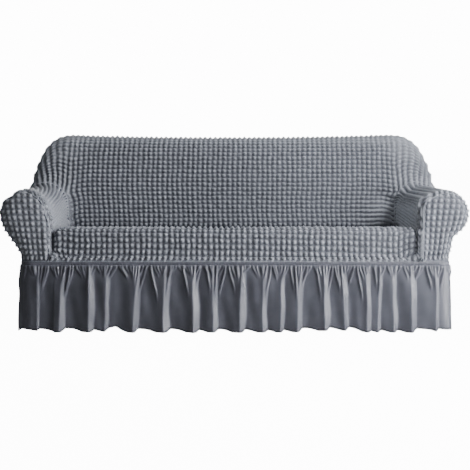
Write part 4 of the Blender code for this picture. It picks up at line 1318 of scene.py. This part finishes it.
class BuildBand(bpy.types.Operator):
    """Makes the plain band round the foot of the panels"""

    bl_idname = "slipcover.band"
    bl_label = "Build the band"

    def execute(self, context):
        band_piece()
        return {"FINISHED"}


class BuildSkirt(bpy.types.Operator):
    """Makes the four gathered lengths of the skirt"""

    bl_idname = "slipcover.skirt"
    bl_label = "Build the skirt"

    def execute(self, context):
        seam, far = SKIRT_SEAM_X, RAIL_LENGTH / 2
        skirt_piece("skirt_front", -seam, seam, 0.006, SKIRT_STEP)
        step = COARSER * SKIRT_STEP
        skirt_piece("skirt_right", seam, far - seam, -0.004, step)
        skirt_piece("skirt_back", far - seam, far + seam, 0.006, step)
        skirt_piece("skirt_left", far + seam, RAIL_LENGTH - seam, -0.004, step)
        return {"FINISHED"}


# ---- Stage

CAMERA_PLACE = (-0.10, -4.44, 0.83)
CAMERA_PITCH = 2.8           # degrees below level
CAMERA_SHIFT = (0.0464, -0.0923)
CAMERA_LENS = 68.7
FLOOR_REACH = 30.0
FLOOR_GLOW, BACKDROP = 13.0, 14.0          # only for the eye: neither lights the sofa
AMBIENT = 0.30
LIGHTS = (
    ("name", "place", "aim", "size", "power", "spread in degrees"),
    ("key", (3.2, -1.7, 3.2), (0.1, -0.2, 0.5), 1.6, 238.0, 180),
    ("skim", (3.3, -1.5, 0.35), (-0.2, -0.45, 0.2), 0.7, 14.0, 50),
    ("near", (1.5, -1.7, 0.9), (0.5, -0.4, 0.4), 0.9, 44.0, 180),
    ("rear", (-1.2, 3.4, 1.1), (0.0, 0.45, 0.5), 2.0, 60.0, 180),
    ("fill", (-0.3, -0.5, 1.5), (0.83, -0.1, 0.5), 0.5, 1.0, 60),
)


def for_the_eye(tree, plain, seen, output):
    """The plain finish lights other things, and the seen one is what the eye sees of it."""
    path = tree.nodes.new("ShaderNodeLightPath")
    mix = add_node(tree, "ShaderNodeMixShader", {0: path.outputs["Is Camera Ray"], 1: plain, 2: seen})
    tree.links.new(mix.outputs[0], tree.nodes[output].inputs["Surface"])


def add_floor():
    """A pale floor that glows to the eye, so that it runs into the backdrop without a line."""
    far = FLOOR_REACH
    mesh = bpy.data.meshes.new("floor")
    mesh.from_pydata([(-far, -far, 0), (far, -far, 0), (far, far, 0), (-far, far, 0)], [], [(0, 1, 2, 3)])
    floor = bpy.data.objects.new("floor", mesh)
    bpy.context.scene.collection.objects.link(floor)
    material = bpy.data.materials.new("pale_floor")
    material.use_nodes = True
    tree = material.node_tree
    shader = tree.nodes["Principled BSDF"]
    shader.inputs["Base Color"].default_value = (*bpy.context.scene.cover_colours.floor, 1)
    shader.inputs["Roughness"].default_value = 0.9
    glow = add_node(tree, "ShaderNodeEmission", {"Strength": FLOOR_GLOW})
    both = add_node(tree, "ShaderNodeAddShader", {0: shader.outputs[0], 1: glow.outputs[0]})
    for_the_eye(tree, shader.outputs[0], both.outputs[0], "Material Output")
    mesh.materials.append(material)


def add_world():
    """A faint even light from all round, in front of a white backdrop."""
    world = bpy.data.worlds.new("studio")
    world.use_nodes = True
    tree = world.node_tree
    ground = tree.nodes["Background"]
    ground.inputs["Color"].default_value = (1.0, 1.0, 1.0, 1)
    ground.inputs["Strength"].default_value = AMBIENT
    white = add_node(tree, "ShaderNodeBackground", {"Color": (1.0, 1.0, 1.0, 1), "Strength": BACKDROP})
    for_the_eye(tree, ground.outputs[0], white.outputs[0], "World Output")
    bpy.context.scene.world = world


def add_light(name, place, aim, size, power, spread):
    """A round area light at place that looks at aim."""
    lamp = bpy.data.lights.new(name, "AREA")
    lamp.shape = "DISK"
    lamp.size = size
    lamp.energy = power
    lamp.spread = math.radians(spread)
    light = bpy.data.objects.new(name, lamp)
    light.location = place
    light.rotation_euler = (Vector(aim) - Vector(place)).to_track_quat("-Z", "Y").to_euler()
    light.visible_camera = False
    bpy.context.scene.collection.objects.link(light)


def add_camera():
    """The camera, level but for a slight look down."""
    lens = bpy.data.cameras.new("camera")
    lens.lens = CAMERA_LENS
    lens.sensor_width = 36.0
    lens.clip_end = 200.0
    lens.shift_x, lens.shift_y = CAMERA_SHIFT
    camera = bpy.data.objects.new("camera", lens)
    camera.location = np.array(CAMERA_PLACE) + SHIFT
    camera.rotation_euler = (math.radians(90 - CAMERA_PITCH), 0, 0)
    bpy.context.scene.collection.objects.link(camera)
    bpy.context.scene.camera = camera


class BuildStage(bpy.types.Operator):
    """Makes the pale floor, the soft studio light and the camera"""

    bl_idname = "slipcover.stage"
    bl_label = "Build the stage"

    def execute(self, context):
        add_floor()
        add_world()
        for row in LIGHTS[1:]:
            add_light(*row)
        add_camera()
        return {"FINISHED"}


class SlipcoverPanel(bpy.types.Panel):
    """Lists the settings and the pieces of the slipcover"""

    bl_idname = "VIEW3D_PT_slipcover"
    bl_label = "Sofa slipcover"
    bl_space_type = "VIEW_3D"
    bl_region_type = "UI"
    bl_category = "Slipcover"

    def draw(self, context):
        column = self.layout.column()
        for group in (context.scene.cover_sizes, context.scene.cover_colours):
            for name in group.bl_rna.properties.keys():
                if name not in ("rna_type", "name"):
                    column.prop(group, name)
        for operator in OPERATORS:
            column.operator(operator.bl_idname)


OPERATORS = (BuildBack, BuildSeat, BuildArms, BuildArmFronts, BuildBand, BuildSkirt, BuildStage)
CLASSES = (CoverSizes, CoverColours, *OPERATORS, SlipcoverPanel)


def register():
    for item in CLASSES:
        bpy.utils.register_class(item)
    bpy.types.Scene.cover_sizes = bpy.props.PointerProperty(type=CoverSizes)
    bpy.types.Scene.cover_colours = bpy.props.PointerProperty(type=CoverColours)


def unregister():
    del bpy.types.Scene.cover_sizes
    del bpy.types.Scene.cover_colours
    for item in reversed(CLASSES):
        bpy.utils.unregister_class(item)


def main():
    register()
    bpy.ops.slipcover.back()
    bpy.ops.slipcover.seat()
    bpy.ops.slipcover.arms()
    bpy.ops.slipcover.arm_fronts()
    bpy.ops.slipcover.band()
    bpy.ops.slipcover.skirt()
    bpy.ops.slipcover.stage()


if __name__ == "__main__":
    main()
